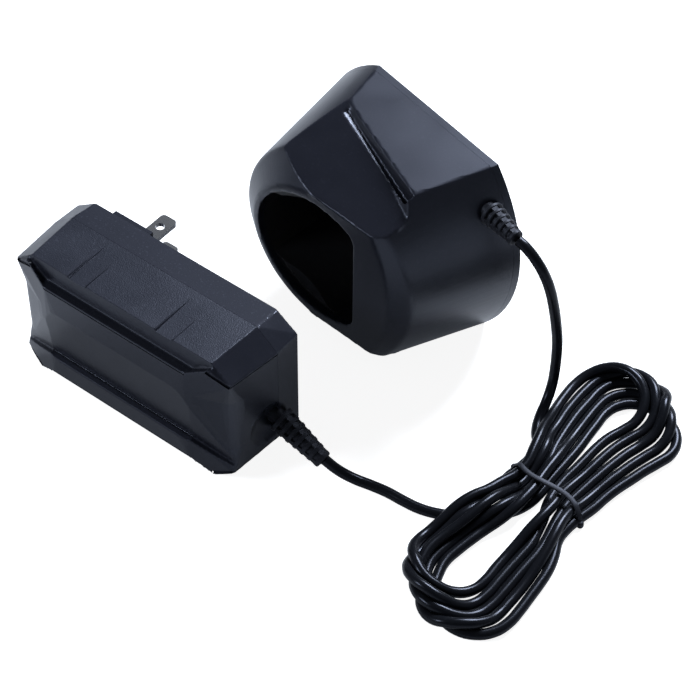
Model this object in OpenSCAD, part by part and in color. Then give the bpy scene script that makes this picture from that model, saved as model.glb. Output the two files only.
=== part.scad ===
// Battery charger in two housings: a cup-shaped cradle that takes the stem of a tool battery, and a
// plug-in wall adapter. One low-voltage cord joins them, and its length is tied up as a hank.
// Everything lies as it would on a table: the cradle on one of its flat sides, the adapter on its
// lower grip face and the hank in front of the cord's two exits. The floor is z = 0.

/* [Cradle body] */
// Radius of the rounded front wall where it meets the base
front_r = 51.2; // [48:0.2:56]
// Lean of the front wall towards the mouth, in degrees
front_taper = 10; // [6:0.5:13]
// Radius of the flatter back wall where it meets the base
back_r = 68; // [64:1:76]
// Lean of the back wall towards the mouth, in degrees
back_taper = 16; // [12:0.5:19]
// Depth of the base from front wall to back wall
base_depth = 92.1; // [88:0.1:98]
// Distance from the middle to each flat side panel at the base
side_half = 41.9; // [39:0.1:46]
// Lean of the flat side panels towards the mouth, in degrees
side_taper = 3.1; // [1:0.1:5]
// Angle by which each side panel closes in towards the back, in degrees
side_wedge = 3.4; // [0:0.1:5]
// Lean of the sunk upper panel of each side, in degrees
panel_taper = 20; // [16:0.5:23]
// Height at which the upper panel's plane leaves the lower one's
panel_start = 15.7; // [12:0.1:19]
// Height of the raised lower panel's edge, at the middle of the side
step_height = 23.8; // [19:0.1:27]
// Slope of that edge, rising towards the back, in degrees
step_angle = 15.6; // [8:0.1:20]
// Slope of the bevel below that edge, in degrees
step_bevel = 20; // [12:1:40]
// Wall of the cradle shell
shell_wall = 2.6; // [2:0.1:3.2]

/* [Battery socket] */
// Height of the mouth above the base, at the mouth's middle
mouth_height = 46; // [44:0.5:52]
// Distance from the front wall's axis forward to the mouth's middle
mouth_ahead = 6; // [3:0.5:8]
// Tilt of the mouth, lower at the back, in degrees
mouth_tilt = 5; // [0:0.5:8]
// Radius of the rounded front edge of the mouth's flat ring
mouth_r = 30.4; // [29.5:0.1:32]
// Radius of the flatter back edge of the ring
mouth_back_r = 63; // [55:1:75]
// Distance from the mouth's middle back to the ring's back edge
mouth_back = 30.1; // [27:0.1:32]
// Slope of the shoulder outside the ring, in degrees
shoulder_angle = 55; // [50:1:60]
// Radius of the round socket
socket_r = 26.6; // [25:0.1:27]
// Distance from the socket's middle to its flat back wall
socket_flat = 15.2; // [13:0.1:17]
// Radius of the two corners beside the flat
socket_corner_r = 6; // [4:0.2:8]
// Wall of the socket liner
liner_wall = 1.8; // [1.4:0.1:2.2]
// Height of the socket's floor above the base
socket_floor = 12; // [11:0.5:16]
// Thickness of the socket's floor
socket_floor_t = 2; // [1.6:0.1:2.6]
// Distance from the socket's middle to its two slanted guides
guide_reach = 21.8; // [20:0.1:24]
// Depth of the guides' lower edge below the mouth
guide_drop = 5; // [3:0.5:8]

/* [Cradle contacts] */
// Distance between neighbouring contact leaves
contact_pitch = 9; // [8:0.5:11]
// Width of one contact leaf
contact_w = 4; // [3:0.1:5]
// Thickness of one contact leaf
contact_t = 0.8; // [0.6:0.1:1]
// Height of a contact leaf above its block
contact_h = 9; // [7:0.5:12]
// Radius of the rolled foot that a leaf turns on
contact_foot_r = 1; // [0.9:0.05:1.2]
// Length of the contact block from front to back
block_l = 13; // [12:0.5:14]
// Height of the contact block
block_h = 6; // [5:0.2:8]
// Rim of the contact block beside the outer leaves
block_rim = 3.5; // [2.5:0.1:5]

/* [Cradle base] */
// Thickness of the base cover
cover_t = 2.4; // [2:0.1:3]
// Diameter of the rubber feet
foot_d = 11; // [8:0.5:14]
// Thickness of the rubber feet
foot_t = 1.2; // [1:0.1:2]
// Distance between the screws across the cradle
screw_gap_y = 50; // [46:0.5:54]
// Distance between the screws from front to back
screw_gap_x = 52; // [48:0.5:54]
// Diameter of the screw thread
screw_d = 3; // [2.5:0.1:3.5]
// Diameter of the screw head
screw_head_d = 5.4; // [5:0.1:6]
// Length of the charge board
board_l = 40; // [34:1:42]
// Width of the charge board
board_w = 30; // [24:1:34]
// Thickness of both circuit boards
board_t = 1.6; // [1:0.1:2]

/* [Adapter housing] */
// Length of the adapter at its parting line
adapter_l = 94; // [90:1:100]
// Height of the adapter as it lies
adapter_h = 53.6; // [52:0.1:58]
// Length of the flat pad field on top and below
crown_l = 77.2; // [74:0.2:80]
// Drop of the sloping end facets
facet_drop = 6.4; // [5:0.1:7.5]
// Depth of the pad field from the parting line forward
crown_depth = 20.4; // [18:0.1:21]
// Depth of the front shell from the parting line to the front wall
front_depth = 25.2; // [25:0.1:28]
// Depth of the rear shell
rear_depth = 10.5; // [9:0.1:12]
// Wall of both adapter shells
adapter_wall = 2.2; // [1.8:0.1:2.6]
// Width of the two narrow sunk bands across the pads
band_w = 6.9; // [5:0.1:8]
// Distance between the middles of the two bands
band_gap = 36.4; // [34:0.1:40]
// Depth of the bands and of the grooves beside them
band_sink = 0.5; // [0.3:0.05:0.8]

/* [Wall plug] */
// Width of a blade
blade_w = 6.35; // [6:0.05:6.6]
// Thickness of a blade
blade_t = 1.5; // [1.4:0.05:1.6]
// Length of a blade outside the carrier
blade_l = 17; // [16:0.1:18]
// Distance between the two blades
blade_gap = 12.7; // [12:0.1:13.4]
// Diameter of the hole in each blade
blade_hole_d = 3.2; // [3:0.1:3.6]
// Distance from the carrier's face to the hole
blade_hole_out = 11.7; // [11:0.1:12.4]
// Distance from the adapter's middle to the blades, towards the end without a cord
blade_side = 23.2; // [20:0.2:26]
// Height of the middle between the blades
blade_height = 33.3; // [31:0.1:35]
// Width of the blade carrier
carrier_w = 16; // [14:0.2:18]
// Height of the blade carrier
carrier_h = 37; // [34:0.5:38]
// Height by which the carrier stands out of the rear shell
carrier_out = 2; // [1:0.1:3]

/* [Adapter insides] */
// Length of the power board
power_board_l = 76; // [70:1:78]
// Height of the power board
power_board_h = 42; // [38:1:44]
// Distance from the parting line back to the power board's front face
power_board_back = 2; // [1:0.1:3]
// Length of the transformer core
core_l = 24; // [20:0.5:26]
// Height of the transformer core
core_h = 20; // [16:0.5:24]
// Depth of the transformer core
core_depth = 16; // [12:0.5:18]
// Diameter of the input capacitor
input_cap_d = 12.5; // [10:0.5:14]
// Length of the input capacitor
input_cap_l = 18; // [14:0.5:19]
// Diameter of the output capacitor
output_cap_d = 8; // [6:0.5:9]
// Length of the output capacitor
output_cap_l = 14; // [10:0.5:16]
// Outer diameter of the filter choke
choke_d = 13; // [11:0.5:14]
// Depth of the filter choke
choke_depth = 6; // [4:0.5:8]
// Diameter of the fuse
fuse_d = 8.4; // [6:0.2:9]
// Height of the fuse above the power board
fuse_h = 8; // [6:0.5:10]
// Height of the heat sink above the power board
sink_h = 16; // [12:0.5:18]
// Length of the heat sink's side that carries the transistor
sink_l = 18; // [12:0.5:20]
// Thickness of the heat sink
sink_t = 1.6; // [1:0.1:2.5]
// Depth of the switch transistor
transistor_t = 4.4; // [3:0.1:5]
// Side of the rectifier block
rectifier_w = 8; // [6:0.5:9]

/* [Cord] */
// Diameter of the cord
cord_d = 3.6; // [3.2:0.1:4]
// Length of the ribbed strain relief on the cradle
cradle_relief_l = 15.5; // [14:0.5:18]
// Length of the ribbed strain relief on the adapter
adapter_relief_l = 20.4; // [18:0.2:23]
// Diameter of both strain reliefs at the housing
relief_root_d = 8.6; // [7.6:0.1:9]
// Diameter of both strain reliefs at the cord's end
relief_tip_d = 5.6; // [5:0.1:6.4]
// Height of the hank
hank_h = 10.4; // [7:0.2:14]
// Width of the hank's two lobes
hank_lobe_w = 45; // [40:0.5:50]
// Width of the hank under its tie
hank_waist_w = 32; // [28:0.5:36]
// Length of the hank
hank_l = 128; // [110:1:140]
// Distance by which the lobes lean to the two sides of the hank's long axis
hank_lean = 7.5; // [0:0.5:12]
// Width of the tie around the hank
tie_w = 3; // [2:0.1:4]
// Thickness of the tie around the hank
tie_t = 1.2; // [0.8:0.1:2]

/* [Hidden] */

// colours
black_plastic = [0.1, 0.105, 0.125];
liner_plastic = [0.06, 0.062, 0.07];
rubber = [0.04, 0.04, 0.045];
board_green = [0.07, 0.27, 0.14];
steel = [0.7, 0.71, 0.72];
nickel = [0.76, 0.74, 0.69];
brass = [0.8, 0.66, 0.32];
copper = [0.72, 0.42, 0.2];
ferrite = [0.2, 0.2, 0.22];
aluminium = [0.78, 0.79, 0.8];
capacitor_blue = [0.1, 0.14, 0.32];
fuse_brown = [0.3, 0.16, 0.09];

// clearances
part_gap = 0.3;
seat_gap = 0.15;
turn_gap = 0.05;
smooth = 96;
small_round = 32;
eps = 0.01;
reach = 150;
tall = 75;

// where the two housings stand
cradle_x = 20.3;
cradle_y = 53;
cradle_yaw = -8.95;
adapter_x = -20.5;
adapter_y = -36.3;

// cradle, derived
back_centre_x = base_depth - front_r - back_r;
panel_half = side_half + (tan(panel_taper) - tan(side_taper)) * panel_start;
rest_pitch = atan(tan(side_taper) / cos(side_wedge));
rest_roll = asin(sin(side_wedge) * cos(side_taper));
rest_height = side_half * cos(side_wedge) * cos(side_taper);
socket_x = -mouth_ahead - 0.7;
corner_x = socket_flat - socket_corner_r;
corner_y = sqrt(pow(socket_r - socket_corner_r, 2) - pow(corner_x, 2));
ring_shift = 1;
guide_turn = 112;
liner_bottom = socket_floor - socket_floor_t;
block_w = 2 * contact_pitch + contact_w + 2 * block_rim;
block_x = 1;
foot_z = socket_floor + contact_foot_r + 1.2;
slot_half = contact_foot_r + turn_gap;
screw_x = (base_depth - 2 * front_r) / 2;
screw_head_h = 1.2;
board_screw_head_d = 3.6;
board_screw_head_h = 1;
chip_h = 1.4;
post_inset = 3;
boss_d = screw_d + 4;
boss_top = 16;
contact_pin_d = 1;
pin_top = socket_floor + block_h / 2;
contact_pin_x = block_x - 4;
// the places of the three contact leaves' feet, in steps of their distance
contact_places = [-1, 0, 1];
// the chips: ahead of the pins, steps of the contact distance aside, length, width
chips = [[6.5, -0.7, 5, 4], [6.5, 0.5, 6, 5], [-5, -0.5, 4, 3], [-5, 0.6, 3, 3]];
board_post_h = 3;
board_bottom = cover_t + board_post_h;
board_hole_d = 2;
relief_root = [32, 27.7, 7.5];
relief_seat = 0.9;
relief_turn = 8;
relief_neck_d = 6;
relief_inside = 8;
lead_d = 1.6;
lead_step = 0.6 * lead_d;
// the cradle's wires: through the screw boss, around the board's corner and down onto the board
cradle_lead_route = [[relief_root.x - 15, relief_root.y + 1, 5.3],
    [relief_root.x - 19, relief_root.y - 1, 6.4],
    [relief_root.x - 22, relief_root.y - 6, 8.6], [relief_root.x - 24.5, relief_root.y - 11, 8.6]];

// adapter, derived
half_l = adapter_l / 2;
crown_half = crown_l / 2;
parting_top = adapter_h - facet_drop;
waist_corner = [half_l - 2, 19];
waist_front_x = 29.6;
waist_top = adapter_h - 16;
cap_corner = [half_l - 1.9, 22, 5.4];
cap_shoulder = [crown_half - 0.3, 22, 1.1];
lip_edge = [29.3, 24.6, 6.5];
crown_front_x = crown_half - 2.1;
rear_drop = 0.8;
groove_w = 1.6;
groove_behind_lip = 2.2;
groove_below_top = 4.5;
groove_depth = 6;
carrier_flange = 1.5;
flange_in = 11;
blade_in = 7;
blade_round = 1.5;
board_back_y = power_board_back + board_t;
board_mid_z = adapter_h / 2;
// room for the strain relief's inner end beside the power board
relief_room = 11;
power_board_x = half_l - relief_room - power_board_l / 2;
post_d = 6;
power_post_inset = 3.5;
flange_y = board_back_y + 2;
core_leg = 4;
winding_out = 1;
blade_lead_d = 1.2;
// places on the power board's front face, from its middle
core_place = [3, -core_h / 2];
input_cap_place = [-11, 8];
output_cap_place = [32, 9];
choke_place = [-29, 9];
fuse_place = [-30, -9];
sink_place = [-2, -17];
rectifier_place = [-20, -14];
adapter_relief_seat = 1.4;
adapter_relief_z = 17;
dish_r = 16;
dish_depth = 1.2;
dish_ahead = 6;
adapter_relief_droop = 24;

// cord routes, chosen by hand
cradle_run = [[66.6, 34.5, 65.9], [71, 34.2, 64.6], [75.5, 34.2, 60.5], [78.7, 35, 54],
    [80.5, 36.2, 45.5], [81.8, 37.2, 36], [82.8, 37.7, 26.5], [83.6, 36.7, 17.5], [84.1, 35.2, 9.5],
    [84.9, 32, 4.4], [86, 27.5, 2.3], [87.3, 22, 1.9], [89, 15.5, 2.4]];
adapter_run = [[44.2, -36.3, 9.4], [47.5, -35.4, 6.9], [51, -34, 4.4], [55.5, -32.2, 2.6],
    [61, -30.4, 1.9], [67, -29.6, 1.9], [73, -29.3, 1.9], [79, -28.4, 1.9], [85, -26, 1.9],
    [91, -22.3, 1.9]];
hank_x = 106.2;
hank_y = 1.2;
hank_turn = -11.2;
tie_turn = -2;

// ---------- helpers ----------

function unit(v) = v / norm(v);
function tangent(path, i) = unit(path[min(i + 1, len(path) - 1)] - path[max(i - 1, 0)]);
// the rings start towards this side, which no route runs along
ring_side = [1, 1, 0];
function side_of(t) = unit(cross(t, ring_side));
// a ring of points around one route point
function ring(p, t, r, n) = [for (k = [0 : n - 1])
    p + r * (cos(360 * k / n) * side_of(t) + sin(360 * k / n) * cross(side_of(t), t))];
// route made finer: points of a smooth curve through the chosen ones
function between(p0, p1, p2, p3, u) = 0.5 * (2 * p1 + (p2 - p0) * u
    + (2 * p0 - 5 * p1 + 4 * p2 - p3) * u * u + (3 * p1 - p0 - 3 * p2 + p3) * u * u * u);
function finer(path, m) = [for (i = [0 : len(path) - 2], k = [0 : m - 1])
    between(path[max(i - 1, 0)], path[i], path[i + 1], path[min(i + 2, len(path) - 1)], k / m),
    path[len(path) - 1]];

// round tube swept along a route
module tube(path, d, n = 8) {
    rings = len(path);
    points = [for (i = [0 : rings - 1]) each ring(path[i], tangent(path, i), d / 2, n)];
    sides = [for (i = [0 : rings - 2], k = [0 : n - 1])
        [i * n + k, i * n + (k + 1) % n, (i + 1) * n + (k + 1) % n, (i + 1) * n + k]];
    near_end = [[for (k = [0 : n - 1]) n - 1 - k]];
    far_end = [[for (k = [0 : n - 1]) (rings - 1) * n + k]];
    polyhedron(points = points, faces = concat(sides, near_end, far_end), convexity = 6);
}

// smallest solid with flat faces that holds all the points
module solid_of(points) {
    hull() polyhedron(points = points, faces = [[for (i = [0 : len(points) - 1]) i]]);
}

// box given by its low corner and its size
module block(low, size) {
    translate(low) cube(size);
}

// ---------- cradle ----------

// puts the cradle, drawn upright on its base, on its flat side on the floor
module cradle_frame() {
    translate([cradle_x, cradle_y, rest_height])
        rotate([0, 0, cradle_yaw])
            rotate([0, rest_roll, 0])
                rotate([rest_pitch, 0, 0])
                    rotate([90, 0, 0])
                        children();
}

// puts what is drawn at the origin into the mouth's tilted plane
module mouth_frame() {
    translate([-mouth_ahead, 0, mouth_height])
        rotate([0, mouth_tilt, 0])
            children();
}

// everything below one side panel's plane
module side_slab(half, taper) {
    translate([0, half, 0])
        rotate([0, 0, -side_wedge])
            rotate([taper, 0, 0])
                block([-reach, -2 * reach, -reach], [2 * reach, 2 * reach, 2 * reach]);
}

// the room between two mirrored side planes
module side_room(half, taper) {
    intersection() {
        side_slab(half, taper);
        mirror([0, 1, 0]) side_slab(half, taper);
    }
}

// front and back walls as two leaning round walls that cross
module round_walls(inset, low) {
    front = front_r - inset;
    back = back_r - inset;
    intersection() {
        translate([0, 0, low])
            cylinder(r1 = front - low * tan(front_taper), r2 = front - tall * tan(front_taper),
                h = tall - low, $fn = smooth);
        translate([back_centre_x, 0, low])
            cylinder(r1 = back - low * tan(back_taper), r2 = back - tall * tan(back_taper),
                h = tall - low, $fn = smooth);
    }
}

// cone that widens downwards from a circle in the mouth's plane
module shoulder_cone(x, r, sink) {
    translate([x, 0, -sink - tall])
        cylinder(r1 = r + tall * tan(shoulder_angle), r2 = r, h = tall, $fn = smooth);
}

// slopes around the mouth's flat ring: a round one in front, a flatter one at the back
module shoulder(sink) {
    mouth_frame()
        intersection() {
            union() {
                shoulder_cone(ring_shift, mouth_r, sink);
                block([ring_shift, -reach, -sink - tall], [reach, 2 * reach, tall]);
            }
            shoulder_cone(mouth_back - mouth_back_r, mouth_back_r, sink);
        }
}

// room below the slanted edge of the raised lower panel, on one side
module below_step() {
    translate([0, side_half, step_height])
        rotate([0, -step_angle, 0])
            rotate([-step_bevel, 0, 0])
                block([-reach, -reach, -reach], [2 * reach, 2 * reach, reach]);
}

module cradle_outside(low) {
    intersection() {
        round_walls(0, low);
        shoulder(0);
        side_room(side_half, side_taper);
        union() {
            side_room(panel_half, panel_taper);
            intersection() {
                below_step();
                mirror([0, 1, 0]) below_step();
            }
        }
    }
}

module cradle_inside() {
    intersection() {
        round_walls(shell_wall, cover_t - 1);
        shoulder(shell_wall);
        side_room(side_half - shell_wall, side_taper);
        side_room(panel_half - shell_wall / cos(panel_taper), panel_taper);
    }
}

// outline of the battery stem's socket: round, with a flat back wall, grown by a wall
module socket_outline(grow = 0) {
    tangent_x = corner_x * (socket_r + grow) / (socket_r - socket_corner_r);
    translate([socket_x, 0]) {
        intersection() {
            circle(r = socket_r + grow, $fn = smooth);
            translate([-reach, -reach]) square([reach + tangent_x, 2 * reach]);
        }
        for (side = [-1, 1])
            translate([corner_x, side * corner_y]) circle(r = socket_corner_r + grow, $fn = smooth);
        translate([corner_x, -corner_y]) square([socket_corner_r + grow, 2 * corner_y]);
    }
}

// slanted guides that narrow the round socket to the stem, with a funnel cut into their tops
module socket_guides() {
    difference() {
        translate([0, 0, socket_floor - eps])
            linear_extrude(tall)
                intersection() {
                    socket_outline(liner_wall / 2);
                    for (side = [-1, 1])
                        translate([socket_x, 0])
                            rotate(side * guide_turn)
                                translate([guide_reach, -socket_r]) square([socket_r, 2 * socket_r]);
                }
        mouth_frame()
            translate([socket_x + mouth_ahead, 0, -guide_drop])
                cylinder(r1 = guide_reach - 1, r2 = socket_r + 1, h = guide_drop, $fn = smooth);
    }
}

// the four places of the base screws
module at_screws() {
    for (x = [-1, 1], y = [-1, 1])
        translate([screw_x + x * screw_gap_x / 2, y * screw_gap_y / 2, 0])
            children();
}

// the four places of the charge board's posts
module at_board_posts() {
    for (x = [-1, 1], y = [-1, 1])
        translate([screw_x + x * (board_l / 2 - post_inset), y * (board_w / 2 - post_inset), 0])
            children();
}

// puts what is drawn along z from the origin into the cradle's strain relief axis
module cradle_relief_frame() {
    translate(relief_root)
        rotate([0, 90 - relief_turn, 0])
            children();
}

// hole for the strain relief's neck and the seat of its first rib
module cradle_relief_seat() {
    cradle_relief_frame() {
        translate([0, 0, -tall / 4]) cylinder(d = relief_neck_d + 2 * seat_gap, h = tall / 2, $fn = smooth);
        translate([0, 0, relief_seat]) cylinder(d = relief_root_d + 2 * seat_gap, h = tall, $fn = smooth);
    }
}

module cradle_shell() {
    color(black_plastic)
        cradle_frame() {
            difference() {
                cradle_outside(cover_t + seat_gap);
                cradle_inside();
                translate([0, 0, liner_bottom])
                    linear_extrude(tall) socket_outline();
                cradle_relief_seat();
            }
            difference() {
                intersection() {
                    at_screws()
                        translate([0, 0, cover_t + seat_gap]) cylinder(d = boss_d, h = tall, $fn = smooth);
                    shoulder(shell_wall / 2);
                    round_walls(shell_wall / 2, cover_t);
                    side_room(side_half - shell_wall / 2, side_taper);
                    side_room(panel_half - shell_wall / 2, panel_taper);
                }
                at_screws()
                    translate([0, 0, cover_t]) cylinder(d = screw_d, h = boss_top - cover_t, $fn = smooth);
                translate([0, 0, liner_bottom - part_gap])
                    linear_extrude(tall) socket_outline(liner_wall + part_gap);
                cradle_relief_seat();
            }
        }
}

module cradle_base_cover() {
    color(black_plastic)
        cradle_frame()
            difference() {
                union() {
                    intersection() {
                        round_walls(0, 0);
                        side_room(side_half, side_taper);
                        block([-reach, -reach, 0], [2 * reach, 2 * reach, cover_t]);
                    }
                    at_board_posts() cylinder(d = post_d, h = board_bottom, $fn = smooth);
                }
                at_screws() {
                    translate([0, 0, -eps]) cylinder(d = screw_d + 2 * seat_gap, h = tall, $fn = smooth);
                    translate([0, 0, -eps])
                        cylinder(d = screw_head_d + 2 * seat_gap, h = screw_head_h + eps, $fn = smooth);
                }
                at_board_posts()
                    translate([0, 0, cover_t]) cylinder(d = board_hole_d, h = tall, $fn = smooth);
            }
}

module base_screws() {
    color(steel)
        cradle_frame()
            at_screws() {
                cylinder(d = screw_head_d, h = screw_head_h, $fn = smooth);
                cylinder(d = screw_d - 2 * turn_gap, h = boss_top - 1, $fn = smooth);
            }
}

module rubber_feet() {
    color(rubber)
        cradle_frame()
            for (x = [-1, 1], y = [-1, 1])
                translate([screw_x + x * (screw_gap_x / 2 - foot_d), y * screw_gap_y / 2, -foot_t])
                    cylinder(d = foot_d, h = foot_t, $fn = smooth);
}

module battery_socket() {
    color(liner_plastic)
        cradle_frame()
            difference() {
                intersection() {
                    union() {
                        translate([0, 0, liner_bottom])
                            linear_extrude(tall)
                                difference() {
                                    socket_outline(liner_wall);
                                    socket_outline();
                                }
                        translate([0, 0, liner_bottom])
                            linear_extrude(socket_floor_t) socket_outline(liner_wall);
                        socket_guides();
                    }
                    shoulder(shell_wall);
                }
                at_contact_pins()
                    cylinder(d = contact_pin_d + 2 * turn_gap, h = tall, $fn = small_round);
            }
}

// the places of the fixed pins that join the contact block to the charge board
module at_contact_pins() {
    for (place = contact_places)
        translate([contact_pin_x, place * contact_pitch, board_bottom + board_t])
            children();
}

module contact_block() {
    color(liner_plastic)
        cradle_frame()
            difference() {
                block([block_x - block_l / 2, -block_w / 2, socket_floor], [block_l, block_w, block_h]);
                for (place = contact_places)
                    translate([block_x, place * contact_pitch - contact_w / 2 - part_gap, foot_z]) {
                        rotate([-90, 0, 0])
                            cylinder(r = slot_half, h = contact_w + 2 * part_gap, $fn = smooth);
                        block([-slot_half, 0, 0], [2 * slot_half, contact_w + 2 * part_gap, block_h]);
                    }
                at_contact_pins()
                    cylinder(d = contact_pin_d + 2 * turn_gap, h = pin_top - board_bottom - board_t,
                        $fn = small_round);
            }
}

module contact_pins() {
    color(brass)
        cradle_frame()
            at_contact_pins()
                cylinder(d = contact_pin_d, h = pin_top - board_bottom - board_t, $fn = small_round);
}

// one contact leaf: rolled foot, upright strip and rounded tip
module contact_leaf(place) {
    tip_z = socket_floor + block_h + contact_h;
    color(brass)
        cradle_frame()
            translate([block_x, place * contact_pitch - contact_w / 2, 0]) {
                translate([0, 0, foot_z])
                    rotate([-90, 0, 0])
                        cylinder(r = contact_foot_r, h = contact_w, $fn = smooth);
                block([-contact_t / 2, 0, foot_z], [contact_t, contact_w, tip_z - foot_z]);
                translate([0, 0, tip_z - 3])
                    rotate([-90, 0, 0])
                        cylinder(r = contact_foot_r, h = contact_w, $fn = smooth);
            }
}

module contact_positive() {
    contact_leaf(contact_places[0]);
}

module contact_sense() {
    contact_leaf(contact_places[1]);
}

module contact_negative() {
    contact_leaf(contact_places[2]);
}

module charge_board() {
    color(board_green)
        cradle_frame()
            difference() {
                block([screw_x - board_l / 2, -board_w / 2, board_bottom], [board_l, board_w, board_t]);
                at_board_posts() cylinder(d = board_hole_d + 2 * seat_gap, h = tall, $fn = smooth);
            }
}

module charge_chips() {
    top = board_bottom + board_t;
    color(ferrite)
        cradle_frame()
            for (chip = chips)
                block([contact_pin_x - chip[0] - chip[2] / 2, chip[1] * contact_pitch - chip[3] / 2, top],
                    [chip[2], chip[3], chip_h]);
}

module board_screws() {
    top = board_bottom + board_t;
    color(steel)
        cradle_frame()
            at_board_posts() {
                translate([0, 0, top])
                    cylinder(d = board_screw_head_d, h = board_screw_head_h, $fn = small_round);
                translate([0, 0, cover_t + part_gap])
                    cylinder(d = board_hole_d - 2 * turn_gap, h = top - cover_t, $fn = small_round);
            }
}

// two wires inside the cradle, from the strain relief's inner end to the charge board
module cradle_leads() {
    start = relief_root + [-relief_inside - lead_d / 2, 0, -1.2];
    board_top = board_bottom + board_t + lead_d / 2;
    last = cradle_lead_route[len(cradle_lead_route) - 1];
    color(rubber)
        cradle_frame()
            for (side = [-1, 1])
                tube(concat([start + [0, side * lead_step, 0]],
                    [for (i = [0 : len(cradle_lead_route) - 1])
                        cradle_lead_route[i] + side * lead_step * (i == 0 ? [0, 1, 0] : [-1, 0, 0])],
                    [[last.x - side * lead_step, last.y - 3, board_top]]),
                    lead_d, 6);
}

// ribbed sleeve around a cord, drawn along z from the housing's face
module relief_sleeve(length) {
    rib_count = 6;
    pitch = length / rib_count;
    core = 1.1;
    cylinder(d1 = relief_root_d - 2 * core, d2 = relief_tip_d - core, h = length, $fn = small_round);
    for (i = [0 : rib_count - 1])
        translate([0, 0, i * pitch + (i == 0 ? 0 : pitch * 0.22)]) {
            share = i / (rib_count - 1);
            cylinder(d = relief_root_d + (relief_tip_d - relief_root_d) * share,
                h = pitch * 0.56, $fn = small_round);
        }
}

module cradle_strain_relief() {
    color(rubber)
        cradle_frame()
            cradle_relief_frame() {
                translate([0, 0, relief_seat + seat_gap])
                    relief_sleeve(cradle_relief_l - relief_seat - seat_gap);
                translate([0, 0, -relief_inside])
                    cylinder(d = relief_neck_d, h = relief_inside + relief_seat + 1, $fn = smooth);
            }
}

// ---------- adapter ----------

// puts the adapter, drawn with its parting line on y = 0, where it lies
module adapter_frame() {
    translate([adapter_x, adapter_y, 0]) children();
}

// corner points mirrored left and right, from a list of [x, y, z]
function both_sides(points) = concat(points, [for (p = points) [-p.x, p.y, p.z]]);

// outline of the front shell's waist, seen from above
function waist_points(z, inset = 0) = both_sides([
    [half_l - inset, 0, z],
    [waist_corner.x - inset, -waist_corner.y, z],
    [waist_front_x - inset / 2, -front_depth + inset, z]]);

// the cap above the waist: lip, end facets and pad field
function cap_points(inset = 0) = both_sides([
    [half_l - inset, 0, parting_top],
    [cap_corner.x - inset, -cap_corner.y + inset, adapter_h - cap_corner.z - inset],
    [cap_shoulder.x - inset, -cap_shoulder.y + inset, adapter_h - cap_shoulder.z - inset],
    [lip_edge.x - inset, -lip_edge.y + inset, adapter_h - lip_edge.z - inset],
    [crown_front_x - inset, -crown_depth + inset, adapter_h - inset],
    [crown_half - inset, 0, adapter_h - inset]]);

module front_half_top(inset) {
    solid_of(concat(waist_points(waist_top, inset), cap_points(inset)));
}

module upside_down() {
    translate([0, 0, adapter_h]) mirror([0, 0, 1]) children();
}

module front_solid(inset = 0) {
    solid_of(concat(waist_points(waist_top, inset), waist_points(adapter_h - waist_top, inset)));
    front_half_top(inset);
    upside_down() front_half_top(inset);
}

// sunk bands and grooves across the pads, on one face
module pad_bands() {
    for (side = [-1, 1])
        translate([side * band_gap / 2, 0, adapter_h])
            block([-band_w / 2, -front_depth - eps, -band_sink], [band_w, front_depth + 2 * eps, tall]);
}

// groove between the pad field's front wall and the lip
module lip_groove() {
    translate([0, -lip_edge.y + groove_behind_lip, adapter_h - groove_below_top])
        rotate([45, 0, 0])
            block([-half_l, -groove_w / 2, 0], [2 * half_l, groove_w, groove_depth]);
}

// shallow dish around the strain relief's root, in the end wall
module relief_dish() {
    translate([half_l - dish_depth + dish_r, -dish_ahead, adapter_relief_z])
        sphere(r = dish_r, $fn = smooth);
}

// hole for the strain relief's neck and the seat of its first rib
module adapter_relief_hole() {
    adapter_relief_frame() {
        translate([0, 0, -tall / 4]) cylinder(d = relief_neck_d + 2 * seat_gap, h = tall / 2, $fn = smooth);
        translate([0, 0, adapter_relief_seat])
            cylinder(d = relief_root_d + 2 * seat_gap, h = tall, $fn = smooth);
    }
}

// puts what is drawn along z from the origin into the adapter's strain relief axis
module adapter_relief_frame() {
    translate([half_l - 1, 0, adapter_relief_z])
        rotate([0, 90 + adapter_relief_droop, 0])
            children();
}

module adapter_front_shell() {
    color(black_plastic)
        adapter_frame()
            difference() {
                front_solid();
                translate([0, eps, 0]) front_solid(adapter_wall);
                pad_bands();
                upside_down() pad_bands();
                lip_groove();
                upside_down() lip_groove();
                relief_dish();
                adapter_relief_hole();
            }
}

function rear_points(inset = 0) = [for (x = [-1, 1], top = [0, 1], step = [0 : 3])
    let (y = step < 2 ? 0 : rear_depth - inset,
        edge = step == 0 || step == 2,
        drop = step < 2 ? 0 : rear_drop / 2,
        low = edge ? facet_drop + drop : inset + drop,
        wide = (edge ? half_l : crown_half) - inset)
    [x * wide, y, top == 1 ? adapter_h - low : low]];

module adapter_rear_shell() {
    window_w = carrier_w + 2 * seat_gap;
    window_h = carrier_h + 2 * seat_gap;
    color(black_plastic)
        adapter_frame() {
            difference() {
                solid_of(rear_points());
                translate([0, -eps, 0]) solid_of(rear_points(adapter_wall));
                block([-blade_side - window_w / 2, 0, blade_height - window_h / 2],
                    [window_w, tall, window_h]);
                adapter_relief_hole();
            }
            at_power_posts()
                rotate([-90, 0, 0])
                    cylinder(d = post_d, h = rear_depth - adapter_wall - board_back_y + eps, $fn = smooth);
        }
}

// the four places of the power board's posts, on the board's back face
module at_power_posts() {
    for (x = [-1, 1], z = [-1, 1])
        translate([power_board_x + x * (power_board_l / 2 - power_post_inset), board_back_y,
            board_mid_z + z * (power_board_h / 2 - power_post_inset)])
            children();
}

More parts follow.
